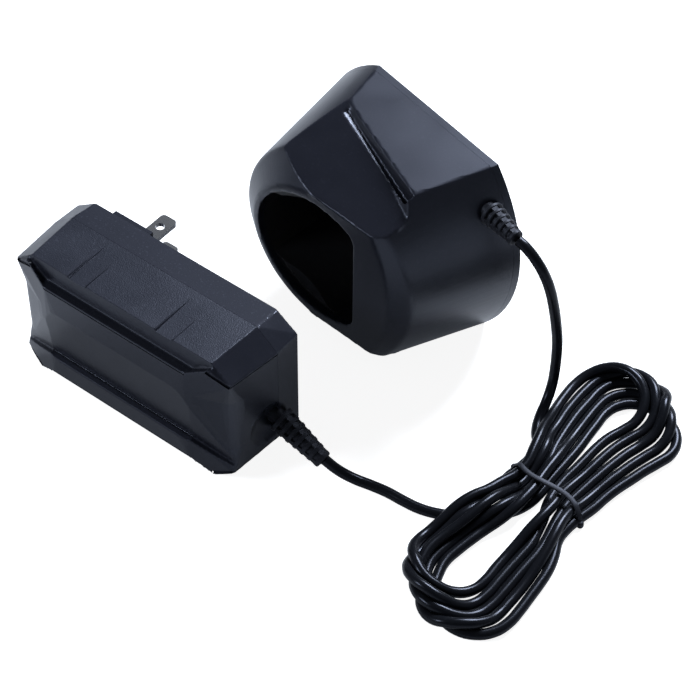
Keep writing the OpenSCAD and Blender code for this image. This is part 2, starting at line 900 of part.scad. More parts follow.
module blade_carrier() {
    flange_w = carrier_w + 2 * carrier_flange;
    flange_h = carrier_h - 2 * flange_in;
    color(black_plastic)
        adapter_frame()
            difference() {
                translate([-blade_side, 0, blade_height]) {
                    block([-carrier_w / 2, rear_depth - adapter_wall, -carrier_h / 2],
                        [carrier_w, carrier_out + adapter_wall, carrier_h]);
                    block([-flange_w / 2, flange_y, -flange_h / 2],
                        [flange_w, rear_depth - adapter_wall - flange_y - eps, flange_h]);
                }
                for (side = [-1, 1])
                    block([-blade_side - blade_w / 2, 0, blade_height + side * blade_gap / 2 - blade_t / 2],
                        [blade_w, tall, blade_t]);
            }
}

// one flat blade, from its tail inside to its rounded tip
module blade(side) {
    face_y = rear_depth + carrier_out;
    color(nickel)
        adapter_frame()
            translate([-blade_side, 0, blade_height + side * blade_gap / 2 - blade_t / 2])
                difference() {
                    linear_extrude(blade_t)
                        union() {
                            translate([-blade_w / 2, face_y - blade_in])
                                square([blade_w, blade_in + blade_l - blade_round]);
                            translate([-blade_w / 2 + blade_round, face_y])
                                square([blade_w - 2 * blade_round, blade_l]);
                            for (x = [-1, 1])
                                translate([x * (blade_w / 2 - blade_round), face_y + blade_l - blade_round])
                                    circle(r = blade_round, $fn = small_round);
                        }
                    translate([0, face_y + blade_hole_out, -eps])
                        cylinder(d = blade_hole_d, h = blade_t + 2 * eps, $fn = smooth);
                }
}

module blade_upper() {
    blade(1);
}

module blade_lower() {
    blade(-1);
}

module blade_leads() {
    tail_y = rear_depth + carrier_out - blade_in;
    color(copper)
        adapter_frame()
            for (side = [-1, 1])
                translate([-blade_side, board_back_y, blade_height + side * blade_gap / 2])
                    rotate([-90, 0, 0])
                        cylinder(d = blade_lead_d, h = tail_y - board_back_y, $fn = small_round);
}

module power_board() {
    color(board_green)
        adapter_frame()
            block([power_board_x - power_board_l / 2, power_board_back, board_mid_z - power_board_h / 2],
                [power_board_l, board_t, power_board_h]);
}

// puts what is drawn along z from the origin on a place of the power board's front face
module on_power_board(place) {
    adapter_frame()
        translate([power_board_x + place.x, power_board_back, board_mid_z + place.y])
            rotate([90, 0, 0])
                children();
}

// round part that stands on the power board
module standing_can(place, d, height) {
    on_power_board(place) cylinder(d = d, h = height, $fn = smooth);
}

module transformer_core() {
    color(ferrite)
        on_power_board(core_place)
            translate([0, 0, 2])
                difference() {
                    cube([core_l, core_h, core_depth]);
                    translate([core_leg, core_leg, -eps])
                        cube([core_l - 2 * core_leg, core_h - 2 * core_leg, core_depth + 2 * eps]);
                }
}

module transformer_winding() {
    inset = core_leg + part_gap;
    color(copper)
        on_power_board(core_place)
            translate([inset, inset, 0])
                cube([core_l - 2 * inset, core_h - 2 * inset, core_depth + 2 + winding_out]);
}

module input_capacitor() {
    color(capacitor_blue) standing_can(input_cap_place, input_cap_d, input_cap_l);
}

module output_capacitor() {
    color(capacitor_blue) standing_can(output_cap_place, output_cap_d, output_cap_l);
}

module filter_choke() {
    color(copper)
        difference() {
            standing_can(choke_place, choke_d, choke_depth);
            translate([0, eps, 0]) standing_can(choke_place, choke_d / 2.4, choke_depth + 2 * eps);
        }
}

module fuse() {
    color(fuse_brown) standing_can(fuse_place, fuse_d, fuse_h);
}

// angle of sheet metal beside the transistor
module heat_sink() {
    color(aluminium)
        on_power_board(sink_place) {
            translate([-sink_t, 0, 0]) cube([sink_t, sink_l, sink_h]);
            translate([-sink_t - transistor_t - 2, 0, 0]) cube([transistor_t + 2, sink_t, sink_h]);
        }
}

module switch_transistor() {
    color(ferrite)
        on_power_board(sink_place)
            translate([-sink_t - transistor_t, sink_t + 1, 0])
                cube([transistor_t, sink_l - sink_t - 6, sink_h - 1]);
}

module rectifier() {
    color(ferrite)
        on_power_board(rectifier_place)
            translate([-rectifier_w / 2, 0, 0]) cube([rectifier_w, rectifier_w - 2, rectifier_w]);
}

// two wires inside the adapter, from the strain relief's inner end to the power board
module output_leads() {
    inner_x = half_l - 1 - relief_inside * cos(adapter_relief_droop);
    inner_z = adapter_relief_z + relief_inside * sin(adapter_relief_droop);
    board_x = inner_x - 8;
    color(rubber)
        adapter_frame()
            for (side = [-1, 1]) {
                board_z = inner_z - 3 + side * lead_d;
                tube([[inner_x - lead_d / 2, side * lead_step, inner_z],
                    [inner_x - 3, side * lead_step - 2.5, inner_z],
                    [inner_x - 6, -3, board_z + 1],
                    [board_x, -2, board_z],
                    [board_x, power_board_back, board_z]],
                    lead_d, 6);
            }
}

module adapter_strain_relief() {
    color(rubber)
        adapter_frame()
            adapter_relief_frame() {
                translate([0, 0, adapter_relief_seat + seat_gap])
                    relief_sleeve(adapter_relief_l - adapter_relief_seat - seat_gap);
                translate([0, 0, -relief_inside])
                    cylinder(d = relief_neck_d, h = relief_inside + adapter_relief_seat + 1, $fn = smooth);
            }
}

// ---------- cord ----------

module cord_cradle_run() {
    color(rubber) tube(finer(cradle_run, 2), cord_d);
}

module cord_adapter_run() {
    color(rubber) tube(finer(adapter_run, 2), cord_d);
}

// puts what is drawn around the tie, with the hank's long axis along y, where the hank lies
module hank_frame() {
    translate([hank_x, hank_y, 0])
        rotate(hank_turn)
            children();
}

// outline of the tied hank, seen from above
module hank_outline() {
    for (end = [-1, 1])
        hull() {
            circle(d = hank_waist_w, $fn = small_round);
            translate([-end * hank_lean, end * (hank_l - hank_lobe_w) / 2])
                circle(d = hank_lobe_w, $fn = small_round);
        }
}

module cord_hank() {
    color(rubber) hank_frame() linear_extrude(hank_h) hank_outline();
}

module hank_tie() {
    outer_w = hank_waist_w + 2 * tie_t;
    color(rubber)
        hank_frame()
            difference() {
                rotate(tie_turn)
                    block([-outer_w / 2, -tie_w / 2, 0], [outer_w, tie_w, hank_h + tie_t]);
                translate([0, 0, -eps]) linear_extrude(hank_h + eps) hank_outline();
            }
}

cradle_shell();
cradle_base_cover();
base_screws();
rubber_feet();
battery_socket();
contact_block();
contact_pins();
contact_positive();
contact_negative();
contact_sense();
charge_board();
charge_chips();
board_screws();
cradle_leads();
cradle_strain_relief();
adapter_front_shell();
adapter_rear_shell();
blade_carrier();
blade_upper();
blade_lower();
blade_leads();
power_board();
transformer_core();
transformer_winding();
input_capacitor();
output_capacitor();
filter_choke();
fuse();
heat_sink();
switch_transistor();
rectifier();
output_leads();
adapter_strain_relief();
cord_cradle_run();
cord_adapter_run();
cord_hank();
hank_tie();
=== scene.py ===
import logging
import math
from collections.abc import Iterator, Sequence
from contextlib import contextmanager
from dataclasses import dataclass
from enum import Enum
from functools import cache

import bpy
import numpy as np
from mathutils import Matrix, Vector


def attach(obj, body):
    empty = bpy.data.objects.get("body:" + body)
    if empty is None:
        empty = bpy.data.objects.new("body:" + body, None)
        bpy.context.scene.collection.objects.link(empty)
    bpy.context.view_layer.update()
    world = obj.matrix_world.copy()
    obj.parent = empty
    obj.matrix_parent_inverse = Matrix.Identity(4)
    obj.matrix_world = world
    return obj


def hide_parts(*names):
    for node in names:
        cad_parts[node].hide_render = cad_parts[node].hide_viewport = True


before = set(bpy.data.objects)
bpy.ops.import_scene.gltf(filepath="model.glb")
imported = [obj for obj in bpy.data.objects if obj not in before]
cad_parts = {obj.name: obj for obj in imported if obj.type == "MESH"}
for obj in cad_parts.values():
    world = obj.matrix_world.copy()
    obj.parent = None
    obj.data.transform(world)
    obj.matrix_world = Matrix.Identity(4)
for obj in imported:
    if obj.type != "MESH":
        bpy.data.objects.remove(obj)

MM = 0.001
BODY = "charger"
# Points closer than this many mm are one point.
WELD = 0.005
# Faces of a convex solid that differ by less than this many degrees are one face.
HULL_FLAT = 0.6
# Faces of a moulding that differ by less than this many degrees are one face.
MOULD_FLAT = 0.4
# Edges of a softened solid above this many degrees stay sharp.
SOFT_SHARP = 32.0
# Share of its faces below which a solid counts as lost by the boolean solver.
LEAST_LEFT = 0.2
Point = tuple[float, float, float]
Colour = tuple[float, float, float, float]
WHITE = (1, 1, 1, 1)
log = logging.getLogger("battery_charger")


# ---------- modelling by hand ----------

def focus(obj: bpy.types.Object) -> None:
    """Makes one object the only selected and active one.

    Args:
        obj: the object that the next operator works on.
    """
    for other in list(bpy.context.selected_objects):
        other.select_set(False)
    obj.select_set(True)
    bpy.context.view_layer.objects.active = obj


@contextmanager
def editing(obj: bpy.types.Object) -> Iterator[None]:
    """Opens an object in edit mode with all of it selected, and closes it again.

    Args:
        obj: the mesh object to edit.
    """
    focus(obj)
    bpy.ops.object.mode_set(mode="EDIT")
    bpy.ops.mesh.select_all(action="SELECT")
    try:
        yield
    finally:
        bpy.ops.object.mode_set(mode="OBJECT")


def named(obj: bpy.types.Object, name: str) -> bpy.types.Object:
    """Gives an object and its mesh one name, and puts its place into its mesh."""
    focus(obj)
    bpy.ops.object.transform_apply(location=True, rotation=True, scale=True)
    obj.name = name
    obj.data.name = name
    return obj


def add_cone(name: str, low: Point, r_low: float, r_top: float, height: float,
             sides: int = 96) -> bpy.types.Object:
    """Adds an upright cone or cylinder by the middle of its lower face.

    Args:
        name: the object's name.
        low: middle of the lower face.
        r_low: radius at the bottom.
        r_top: radius at the top.
        height: height along z.
        sides: number of side faces.

    Returns:
        The new object, with its place in its mesh.
    """
    bpy.ops.object.select_all(action="DESELECT")
    bpy.ops.mesh.primitive_cone_add(vertices=sides, radius1=r_low, radius2=r_top, depth=height,
                                    location=(low[0], low[1], low[2] + height / 2))
    return named(bpy.context.object, name)


def add_box(name: str, low: Point, size: Point) -> bpy.types.Object:
    """Adds a box by its low corner and its size.

    Args:
        name: the object's name.
        low: the corner with the lowest coordinates.
        size: its three side lengths.

    Returns:
        The new object, with its place in its mesh.
    """
    bpy.ops.object.select_all(action="DESELECT")
    middle = [low[i] + size[i] / 2 for i in range(3)]
    bpy.ops.mesh.primitive_cube_add(size=1, location=middle, scale=size)
    return named(bpy.context.object, name)


def new_object(name: str, points: Sequence[Point], edges: Sequence[tuple[int, int]] = (),
               faces: Sequence[Sequence[int]] = ()) -> bpy.types.Object:
    """Makes a mesh object from points, with the edges or faces between them.

    Args:
        name: the name of the object and of its mesh.
        points: its points.
        edges: the two points of each edge.
        faces: the points of each face, once around.

    Returns:
        The new object.
    """
    mesh = bpy.data.meshes.new(name)
    mesh.from_pydata([tuple(p) for p in points], edges, faces)
    obj = bpy.data.objects.new(name, mesh)
    bpy.context.scene.collection.objects.link(obj)
    return obj


def face_outwards() -> None:
    """Turns all faces of the mesh in edit mode outwards."""
    bpy.ops.mesh.select_all(action="SELECT")
    bpy.ops.mesh.normals_make_consistent(inside=False)


def add_facets(name: str, corners: Sequence[Point]) -> bpy.types.Object:
    """Makes the flat-faced solid that just holds a set of corners.

    Args:
        name: the object's name.
        corners: the corner points.

    Returns:
        The new object, its coplanar faces joined.
    """
    obj = new_object(name, corners)
    with editing(obj):
        bpy.ops.mesh.convex_hull()
        bpy.ops.mesh.dissolve_limited(angle_limit=math.radians(HULL_FLAT))
        face_outwards()
    return obj


def add_outline(name: str, outline: Sequence[tuple[float, float]], low: float,
                height: float) -> bpy.types.Object:
    """Extrudes a closed outline along z.

    Args:
        name: the object's name.
        outline: the outline's points, once around.
        low: height of its lower face.
        height: how far it is extruded.

    Returns:
        The new object.
    """
    obj = new_object(name, [(x, y, low) for x, y in outline], faces=[list(range(len(outline)))])
    with editing(obj):
        bpy.ops.mesh.extrude_region_move(TRANSFORM_OT_translate={"value": (0, 0, height)})
        face_outwards()
    return obj


def add_turned(name: str, profile: Sequence[tuple[float, float]], steps: int) -> bpy.types.Object:
    """Turns a profile of radius and height around z with the spin operator.

    Args:
        name: the object's name.
        profile: points of radius and height from the lower to the upper end.
        steps: number of side faces.

    Returns:
        The new object, with closed ends.
    """
    obj = new_object(name, [(r, 0, z) for r, z in profile],
                     edges=[(i, i + 1) for i in range(len(profile) - 1)])
    with editing(obj):
        bpy.ops.mesh.spin(steps=steps, angle=math.tau, center=(0, 0, 0), axis=(0, 0, 1))
        bpy.ops.mesh.select_all(action="SELECT")
        bpy.ops.mesh.remove_doubles(threshold=WELD)
        face_outwards()
    return obj


def copied(obj: bpy.types.Object) -> bpy.types.Object:
    """Makes a copy with its own mesh."""
    twin = obj.copy()
    twin.data = obj.data.copy()
    bpy.context.scene.collection.objects.link(twin)
    return twin


def flipped(obj: bpy.types.Object, axis: int, about: float = 0.0) -> bpy.types.Object:
    """Mirrors a solid in place, and turns its faces outwards again.

    Args:
        obj: the solid to mirror.
        axis: 0, 1 or 2 for the axis that is turned round.
        about: place of the mirror along that axis.

    Returns:
        The same solid.
    """
    flip = Matrix.Identity(4)
    flip[axis][axis] = -1
    flip[axis][3] = 2 * about
    obj.data.transform(flip)
    with editing(obj):
        face_outwards()
    return obj


def both_sides(obj: bpy.types.Object, axis: int) -> list[bpy.types.Object]:
    """Returns a solid and its copy on the other side of the middle plane."""
    return [obj, flipped(copied(obj), axis)]


def apply_modifier(obj: bpy.types.Object, kind: str, **settings: object) -> None:
    """Adds a modifier with its settings and applies it at once.

    Args:
        obj: the object to change.
        kind: the modifier's type.
        settings: its properties by name.
    """
    focus(obj)
    modifier = obj.modifiers.new(kind.lower(), kind)
    for key, value in settings.items():
        setattr(modifier, key, value)
    bpy.ops.object.modifier_apply(modifier=modifier.name)


def combine(obj: bpy.types.Object, operation: str, *others: bpy.types.Object) -> bpy.types.Object:
    """Joins, cuts or crosses a solid with others, which are used up.

    The exact solver takes over where the manifold one leaves next to nothing.

    Args:
        obj: the solid that stays.
        operation: UNION, DIFFERENCE or INTERSECT.
        others: the solids that it is combined with, in order.

    Returns:
        The changed solid.
    """
    for other in others:
        before = obj.data.copy()
        for solver in ("MANIFOLD", "EXACT"):
            apply_modifier(obj, "BOOLEAN", operation=operation, object=other, solver=solver)
            if len(obj.data.polygons) > LEAST_LEFT * len(before.polygons):
                break
            obj.data = before.copy()
        bpy.data.meshes.remove(before)
        bpy.data.objects.remove(other)
    return obj


def keep_below(obj: bpy.types.Object, point: Point, normal: Point) -> None:
    """Cuts a solid with a plane, drops what lies on the normal's side and closes the cut.

    Args:
        obj: the solid to cut.
        point: a point of the plane.
        normal: the plane's direction, towards what is dropped.
    """
    with editing(obj):
        bpy.ops.mesh.bisect(plane_co=point, plane_no=normal, use_fill=True, clear_outer=True)


def clean(obj: bpy.types.Object, gap: float) -> None:
    """Joins points closer than a gap, and joins faces that lie in one plane."""
    with editing(obj):
        bpy.ops.mesh.remove_doubles(threshold=gap)
        bpy.ops.mesh.dissolve_degenerate(threshold=gap)
        bpy.ops.mesh.select_all(action="SELECT")
        bpy.ops.mesh.dissolve_limited(angle_limit=math.radians(MOULD_FLAT))


def soften(obj: bpy.types.Object, width: float, segments: int = 3, angle: float = 14.0) -> None:
    """Rounds every edge that is sharper than an angle, and smooths the faces between.

    Args:
        obj: the object to round.
        width: width of the rounding.
        segments: faces across the rounding.
        angle: edges below this many degrees stay.
    """
    apply_modifier(obj, "BEVEL", width=width, segments=segments, limit_method="ANGLE",
                   angle_limit=math.radians(angle), use_clamp_overlap=True)
    shade(obj, SOFT_SHARP)


def melt(obj: bpy.types.Object, grid: float, passes: int, keep: float = 1.0) -> None:
    """Rounds all edges of a solid alike, as a moulding's are, by an even fine mesh.

    Args:
        obj: the solid to round.
        grid: size of the new faces.
        passes: smoothing passes, more for a larger rounding.
        keep: share of the faces that stay, most of them at the roundings.
    """
    apply_modifier(obj, "REMESH", mode="VOXEL", voxel_size=grid)
    apply_modifier(obj, "SMOOTH", factor=0.5, iterations=passes)
    if keep < 1:
        apply_modifier(obj, "DECIMATE", ratio=keep)


def shade(obj: bpy.types.Object, angle: float) -> None:
    """Shades an object smooth up to an angle in degrees."""
    focus(obj)
    bpy.ops.object.shade_smooth_by_angle(angle=math.radians(angle))


def shade_moulding(obj: bpy.types.Object, angle: float) -> None:
    """Cleans and shades a moulding, whose flat faces stay flat beside their roundings.

    Args:
        obj: the moulding.
        angle: edges above this many degrees stay sharp.
    """
    clean(obj, WELD)
    shade(obj, angle)
    apply_modifier(obj, "WEIGHTED_NORMAL", weight=80, keep_sharp=True)


# ---------- finishes ----------

class Grain(Enum):
    """Kinds of surface texture."""

    FINE = "fine"
    PEBBLE = "pebble"
    BRUSHED = "brushed"
    WOUND = "wound"


# How the grain is drawn out along x, y and z, where it has a direction.
STRETCH = {Grain.BRUSHED: (1, 1, 0.06), Grain.WOUND: (0.1, 0.1, 1)}
# How fine the specks are against the grain.
SPECK_FINENESS = 0.45
# How much of the lighter colour the specks and the patches bring.
SPECK_SHARE = 0.5
PATCH_SHARE = 0.35


def new_group(name: str, inputs: dict[str, float], outputs: Sequence[str]) -> bpy.types.NodeTree:
    """Starts a shader node group with number inputs and outputs.

    Args:
        name: the group's name.
        inputs: its number inputs with their usual values.
        outputs: names of its number outputs.

    Returns:
        The group, with its Group Input and Group Output nodes.
    """
    tree = bpy.data.node_groups.new(name, "ShaderNodeTree")
    for key, value in inputs.items():
        socket = tree.interface.new_socket(name=key, in_out="INPUT", socket_type="NodeSocketFloat")
        socket.default_value = value
    for key in outputs:
        tree.interface.new_socket(name=key, in_out="OUTPUT", socket_type="NodeSocketFloat")
    tree.nodes.new("NodeGroupInput").name = "in"
    tree.nodes.new("NodeGroupOutput").name = "out"
    return tree


def add_node(tree: bpy.types.NodeTree, kind: str, inputs: dict[str, object] | None = None,
             **settings: object) -> bpy.types.ShaderNode:
    """Adds a shader node with its settings, and sets or links its inputs.

    Args:
        tree: the tree that gets the node.
        kind: the node's type, without its usual first word.
        inputs: for each input's name, a value, or an output that is linked to it.
        settings: the node's properties by name.

    Returns:
        The new node.
    """
    node = tree.nodes.new(f"ShaderNode{kind}")
    for key, value in settings.items():
        setattr(node, key, value)
    join_inputs(tree, node, inputs or {})
    return node


def join_inputs(tree: bpy.types.NodeTree, node: bpy.types.ShaderNode,
                inputs: dict[str, object]) -> None:
    """Sets or links a node's inputs.

    Args:
        tree: the node's tree.
        node: the node.
        inputs: for each input's name or number, a value, or an output that is linked to it.
    """
    for key, value in inputs.items():
        if isinstance(value, bpy.types.NodeSocket):
            tree.links.new(value, node.inputs[key])
        else:
            node.inputs[key].default_value = value


def math_node(tree: bpy.types.NodeTree, operation: str, a: object, b: object) -> object:
    """Adds a Math node for two values or outputs, and returns its output."""
    return add_node(tree, "Math", {0: a, 1: b}, operation=operation).outputs[0]


@cache
def surface_group(grain: Grain) -> bpy.types.NodeTree:
    """Builds the texture of one kind of surface once: its height, its patches and its specks.

    Args:
        grain: which kind of texture.

    Returns:
        The node group, with outputs Height, Patch and Speck from 0 to 1.
    """
    tree = new_group(f"surface_{grain.value}", {"Size": 0.5, "Patch Size": 14.0},
                     ("Height", "Patch", "Speck"))
    source, sink = tree.nodes["in"], tree.nodes["out"]
    place = add_node(tree, "TexCoord").outputs["Object"]
    if grain in STRETCH:
        place = add_node(tree, "Mapping", {
            "Scale": STRETCH[grain], "Vector": place}).outputs["Vector"]
    fine = math_node(tree, "DIVIDE", 1 / MM, source.outputs["Size"])
    broad = math_node(tree, "DIVIDE", 1 / MM, source.outputs["Patch Size"])
    if grain is Grain.PEBBLE:
        grit = add_node(tree, "TexVoronoi", {"Smoothness": 0.6, "Vector": place, "Scale": fine},
                        feature="SMOOTH_F1")
        height = math_node(tree, "SUBTRACT", 1.0, grit.outputs["Distance"])
    else:
        grit = add_node(tree, "TexNoise", {
            "Detail": 2.0, "Roughness": 0.55, "Vector": place, "Scale": fine})
        height = grit.outputs["Fac"]
    patch = add_node(tree, "TexNoise", {"Detail": 3.0, "Vector": place, "Scale": broad})
    speck = add_node(tree, "TexNoise", {
        "Detail": 1.0, "Vector": place, "Scale": math_node(tree, "MULTIPLY", fine, SPECK_FINENESS)})
    sharp = add_node(tree, "MapRange", {
        "From Min": 0.62, "From Max": 0.72, "Value": speck.outputs["Fac"]})
    join_inputs(tree, sink, {"Height": height, "Patch": patch.outputs["Fac"],
                             "Speck": sharp.outputs["Result"]})
    return tree


@dataclass(frozen=True)
class Finish:
    """One finish of the charger: a colour with its grain, patches and gloss."""

    name: str
    colour: Point
    speck_colour: Point
    roughness: float
    slot: str
    grain: Grain = Grain.FINE
    grain_size: float = 0.5
    grain_height: float = 0.00002
    patch_size: float = 14.0
    spread: float = 0.06
    metallic: float = 0.0
    coat: float = 0.0
    specular: float = 0.35
    tint: Point = (1.0, 1.0, 1.0)

    @cache
    def material(self) -> bpy.types.Material:
        """Builds the finish's material once and returns it."""
        made = bpy.data.materials.new(self.name)
        made.use_nodes = True
        tree = made.node_tree
        surface = add_node(tree, "Group", {"Size": self.grain_size, "Patch Size": self.patch_size},
                           node_tree=surface_group(self.grain))
        height, patch, speck = (surface.outputs[key] for key in ("Height", "Patch", "Speck"))
        share = math_node(tree, "ADD", math_node(tree, "MULTIPLY", speck, SPECK_SHARE),
                          math_node(tree, "MULTIPLY", patch, PATCH_SHARE))
        tint = add_node(tree, "Mix", {"A": (*self.colour, 1), "B": (*self.speck_colour, 1),
                                      "Factor": share}, data_type="RGBA")
        uneven = math_node(tree, "SUBTRACT", patch, 0.5)
        uneven = math_node(tree, "MULTIPLY", uneven, 2 * self.spread)
        bump = add_node(tree, "Bump", {
            "Strength": 1.0, "Distance": self.grain_height, "Height": height})
        join_inputs(tree, tree.nodes["Principled BSDF"], {
            "Base Color": tint.outputs["Result"],
            "Roughness": math_node(tree, "ADD", uneven, self.roughness),
            "Normal": bump.outputs["Normal"],
            "Metallic": self.metallic,
            "Specular IOR Level": self.specular,
            "Specular Tint": (*self.tint, 1),
            "Coat Weight": self.coat,
            "Coat Roughness": 0.2})
        return made

    def dress(self, obj: bpy.types.Object) -> bpy.types.Object:
        """Gives a new piece this finish in its only material slot."""
        obj.data.materials.clear()
        obj.data.materials.append(self.material())
        return obj

    def dress_node(self, node: str) -> None:
        """Gives a carried-over solid this finish through its own material slots."""
        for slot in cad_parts[node].material_slots:
            slot.material = self.material()


BLACK = (0.0075, 0.0082, 0.0125)
BLACK_LIFTED = (0.0145, 0.0155, 0.0225)
COOL = (0.74, 0.8, 1.0)
SATIN = Finish("black_satin", BLACK, BLACK_LIFTED, 0.33, "black_plastic", grain_size=0.35,
               grain_height=0.000013, specular=0.4, tint=COOL)
TEXTURED = Finish("black_textured", BLACK, (0.024, 0.026, 0.035), 0.4, "black_plastic",
                  grain=Grain.PEBBLE, grain_size=0.42, grain_height=0.000045, specular=0.34,
                  tint=COOL)
MATT = Finish("black_matt", BLACK, (0.026, 0.028, 0.038), 0.58, "black_plastic",
              grain=Grain.PEBBLE, grain_size=0.36, grain_height=0.00002, specular=0.12, tint=COOL)
LINER = Finish("liner_black", (0.006, 0.006, 0.007), (0.012, 0.012, 0.014), 0.5, "liner_plastic")
RUBBER = Finish("relief_rubber", (0.009, 0.0095, 0.012), (0.018, 0.019, 0.023), 0.5, "rubber",
                grain_size=0.3, specular=0.2, tint=COOL)
JACKET = Finish("jacket_black", (0.0045, 0.005, 0.0065), (0.008, 0.0085, 0.0105), 0.24,
                "cord_jacket", grain_size=0.4, grain_height=0.000004, specular=0.14, tint=COOL)
BOARD = Finish("circuit_board", (0.012, 0.075, 0.03), (0.03, 0.13, 0.05), 0.4, "board_green",
               grain_size=0.9, coat=0.3)
STEEL = Finish("screw_steel", (0.36, 0.37, 0.38), (0.5, 0.5, 0.5), 0.34, "steel",
               grain=Grain.BRUSHED, grain_size=0.2, grain_height=0.000004, metallic=1.0)
NICKEL = Finish("blade_nickel", (0.5, 0.5, 0.51), (0.56, 0.56, 0.57), 0.22, "nickel",
                grain=Grain.BRUSHED, grain_size=0.3, grain_height=0.0000006, spread=0.03,
                metallic=1.0)
BRASS = Finish("contact_brass", (0.62, 0.45, 0.16), (0.75, 0.6, 0.28), 0.3, "brass",
               grain=Grain.BRUSHED, grain_size=0.2, grain_height=0.000004, metallic=1.0)
COPPER = Finish("winding_copper", (0.5, 0.2, 0.08), (0.7, 0.32, 0.14), 0.35, "copper",
                grain=Grain.WOUND, grain_size=0.7, grain_height=0.00006, metallic=0.8)
FERRITE = Finish("core_ferrite", (0.03, 0.03, 0.033), (0.06, 0.06, 0.065), 0.55, "ferrite")
ALUMINIUM = Finish("sink_aluminium", (0.6, 0.61, 0.62), (0.75, 0.75, 0.76), 0.38, "aluminium",
                   grain=Grain.BRUSHED, grain_size=0.4, metallic=1.0)
CAN_BLUE = Finish("can_sleeve", (0.01, 0.02, 0.085), (0.02, 0.04, 0.14), 0.35,
                  "capacitor_blue", coat=0.2)
FUSE_BROWN = Finish("fuse_body", (0.09, 0.03, 0.015), (0.14, 0.05, 0.025), 0.4, "fuse_brown")

NODE_FINISHES: dict[str, Finish] = {
    "cradle_shell": SATIN, "cradle_base_cover": SATIN, "base_screws": STEEL, "rubber_feet": RUBBER,
    "battery_socket": LINER, "contact_block": LINER, "contact_pins": BRASS,
    "contact_positive": BRASS, "contact_sense": BRASS, "contact_negative": BRASS,
    "charge_board": BOARD, "charge_chips": FERRITE, "board_screws": STEEL, "cradle_leads": RUBBER,
    "cradle_strain_relief": RUBBER, "adapter_front_shell": SATIN, "adapter_rear_shell": SATIN,
    "blade_carrier": SATIN, "blade_upper": NICKEL, "blade_lower": NICKEL, "blade_leads": COPPER,
    "power_board": BOARD, "transformer_core": FERRITE, "transformer_winding": COPPER,
    "input_capacitor": CAN_BLUE, "output_capacitor": CAN_BLUE, "filter_choke": COPPER,
    "fuse": FUSE_BROWN, "heat_sink": ALUMINIUM, "switch_transistor": FERRITE,
    "rectifier": FERRITE, "output_leads": RUBBER, "adapter_strain_relief": RUBBER,
    "cord_cradle_run": JACKET, "cord_adapter_run": JACKET, "cord_hank": JACKET, "hank_tie": RUBBER,
}


# ---------- placing and finishing a piece ----------

def turned(axis: str, degrees: float) -> Matrix:
    """Returns a rotation about an axis, given in degrees."""
    return Matrix.Rotation(math.radians(degrees), 4, axis)


def four_corners(x: float, y: float, gap: tuple[float, float]) -> list[tuple[float, float]]:
    """Returns the corners of a rectangle.

    Args:
        x: the middle's place across.
        y: the middle's place along.
        gap: the rectangle's two side lengths.

    Returns:
        The four places.
    """
    return [(x + side * gap[0] / 2, y + end * gap[1] / 2) for side in (-1, 1) for end in (-1, 1)]


def in_metres(obj: bpy.types.Object, place: Matrix) -> bpy.types.Object:
    """Puts a piece drawn in mm into its place in the frame, which is in metres."""
    obj.data.transform(Matrix.Scale(MM, 4) @ place)
    obj.data.update()
    return obj


def finished(obj: bpy.types.Object, name: str, finish: Finish, place: Matrix,
             *nodes: str) -> bpy.types.Object:
    """Names, places and dresses a piece, and lets it ride on the body.

    Args:
        obj: the piece, drawn in mm in its own frame.
        name: its name.
        finish: its finish.
        place: where its frame lies, in mm.
        nodes: the solids that it replaces.

    Returns:
        The finished piece.
    """
    in_metres(obj, place)
    obj.name = name
    obj.data.name = name
    finish.dress(obj)
    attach(obj, BODY)
    if nodes:
        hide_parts(*nodes)
    log.info("%s: %d faces", name, len(obj.data.polygons))
    return obj


# ---------- strain relief ----------

# Radius of the hole for a neck, and how far the cutters reach past the wall, in mm.
NECK_R = 3.15
NECK_OUT = 18
SEAT_OUT = 40


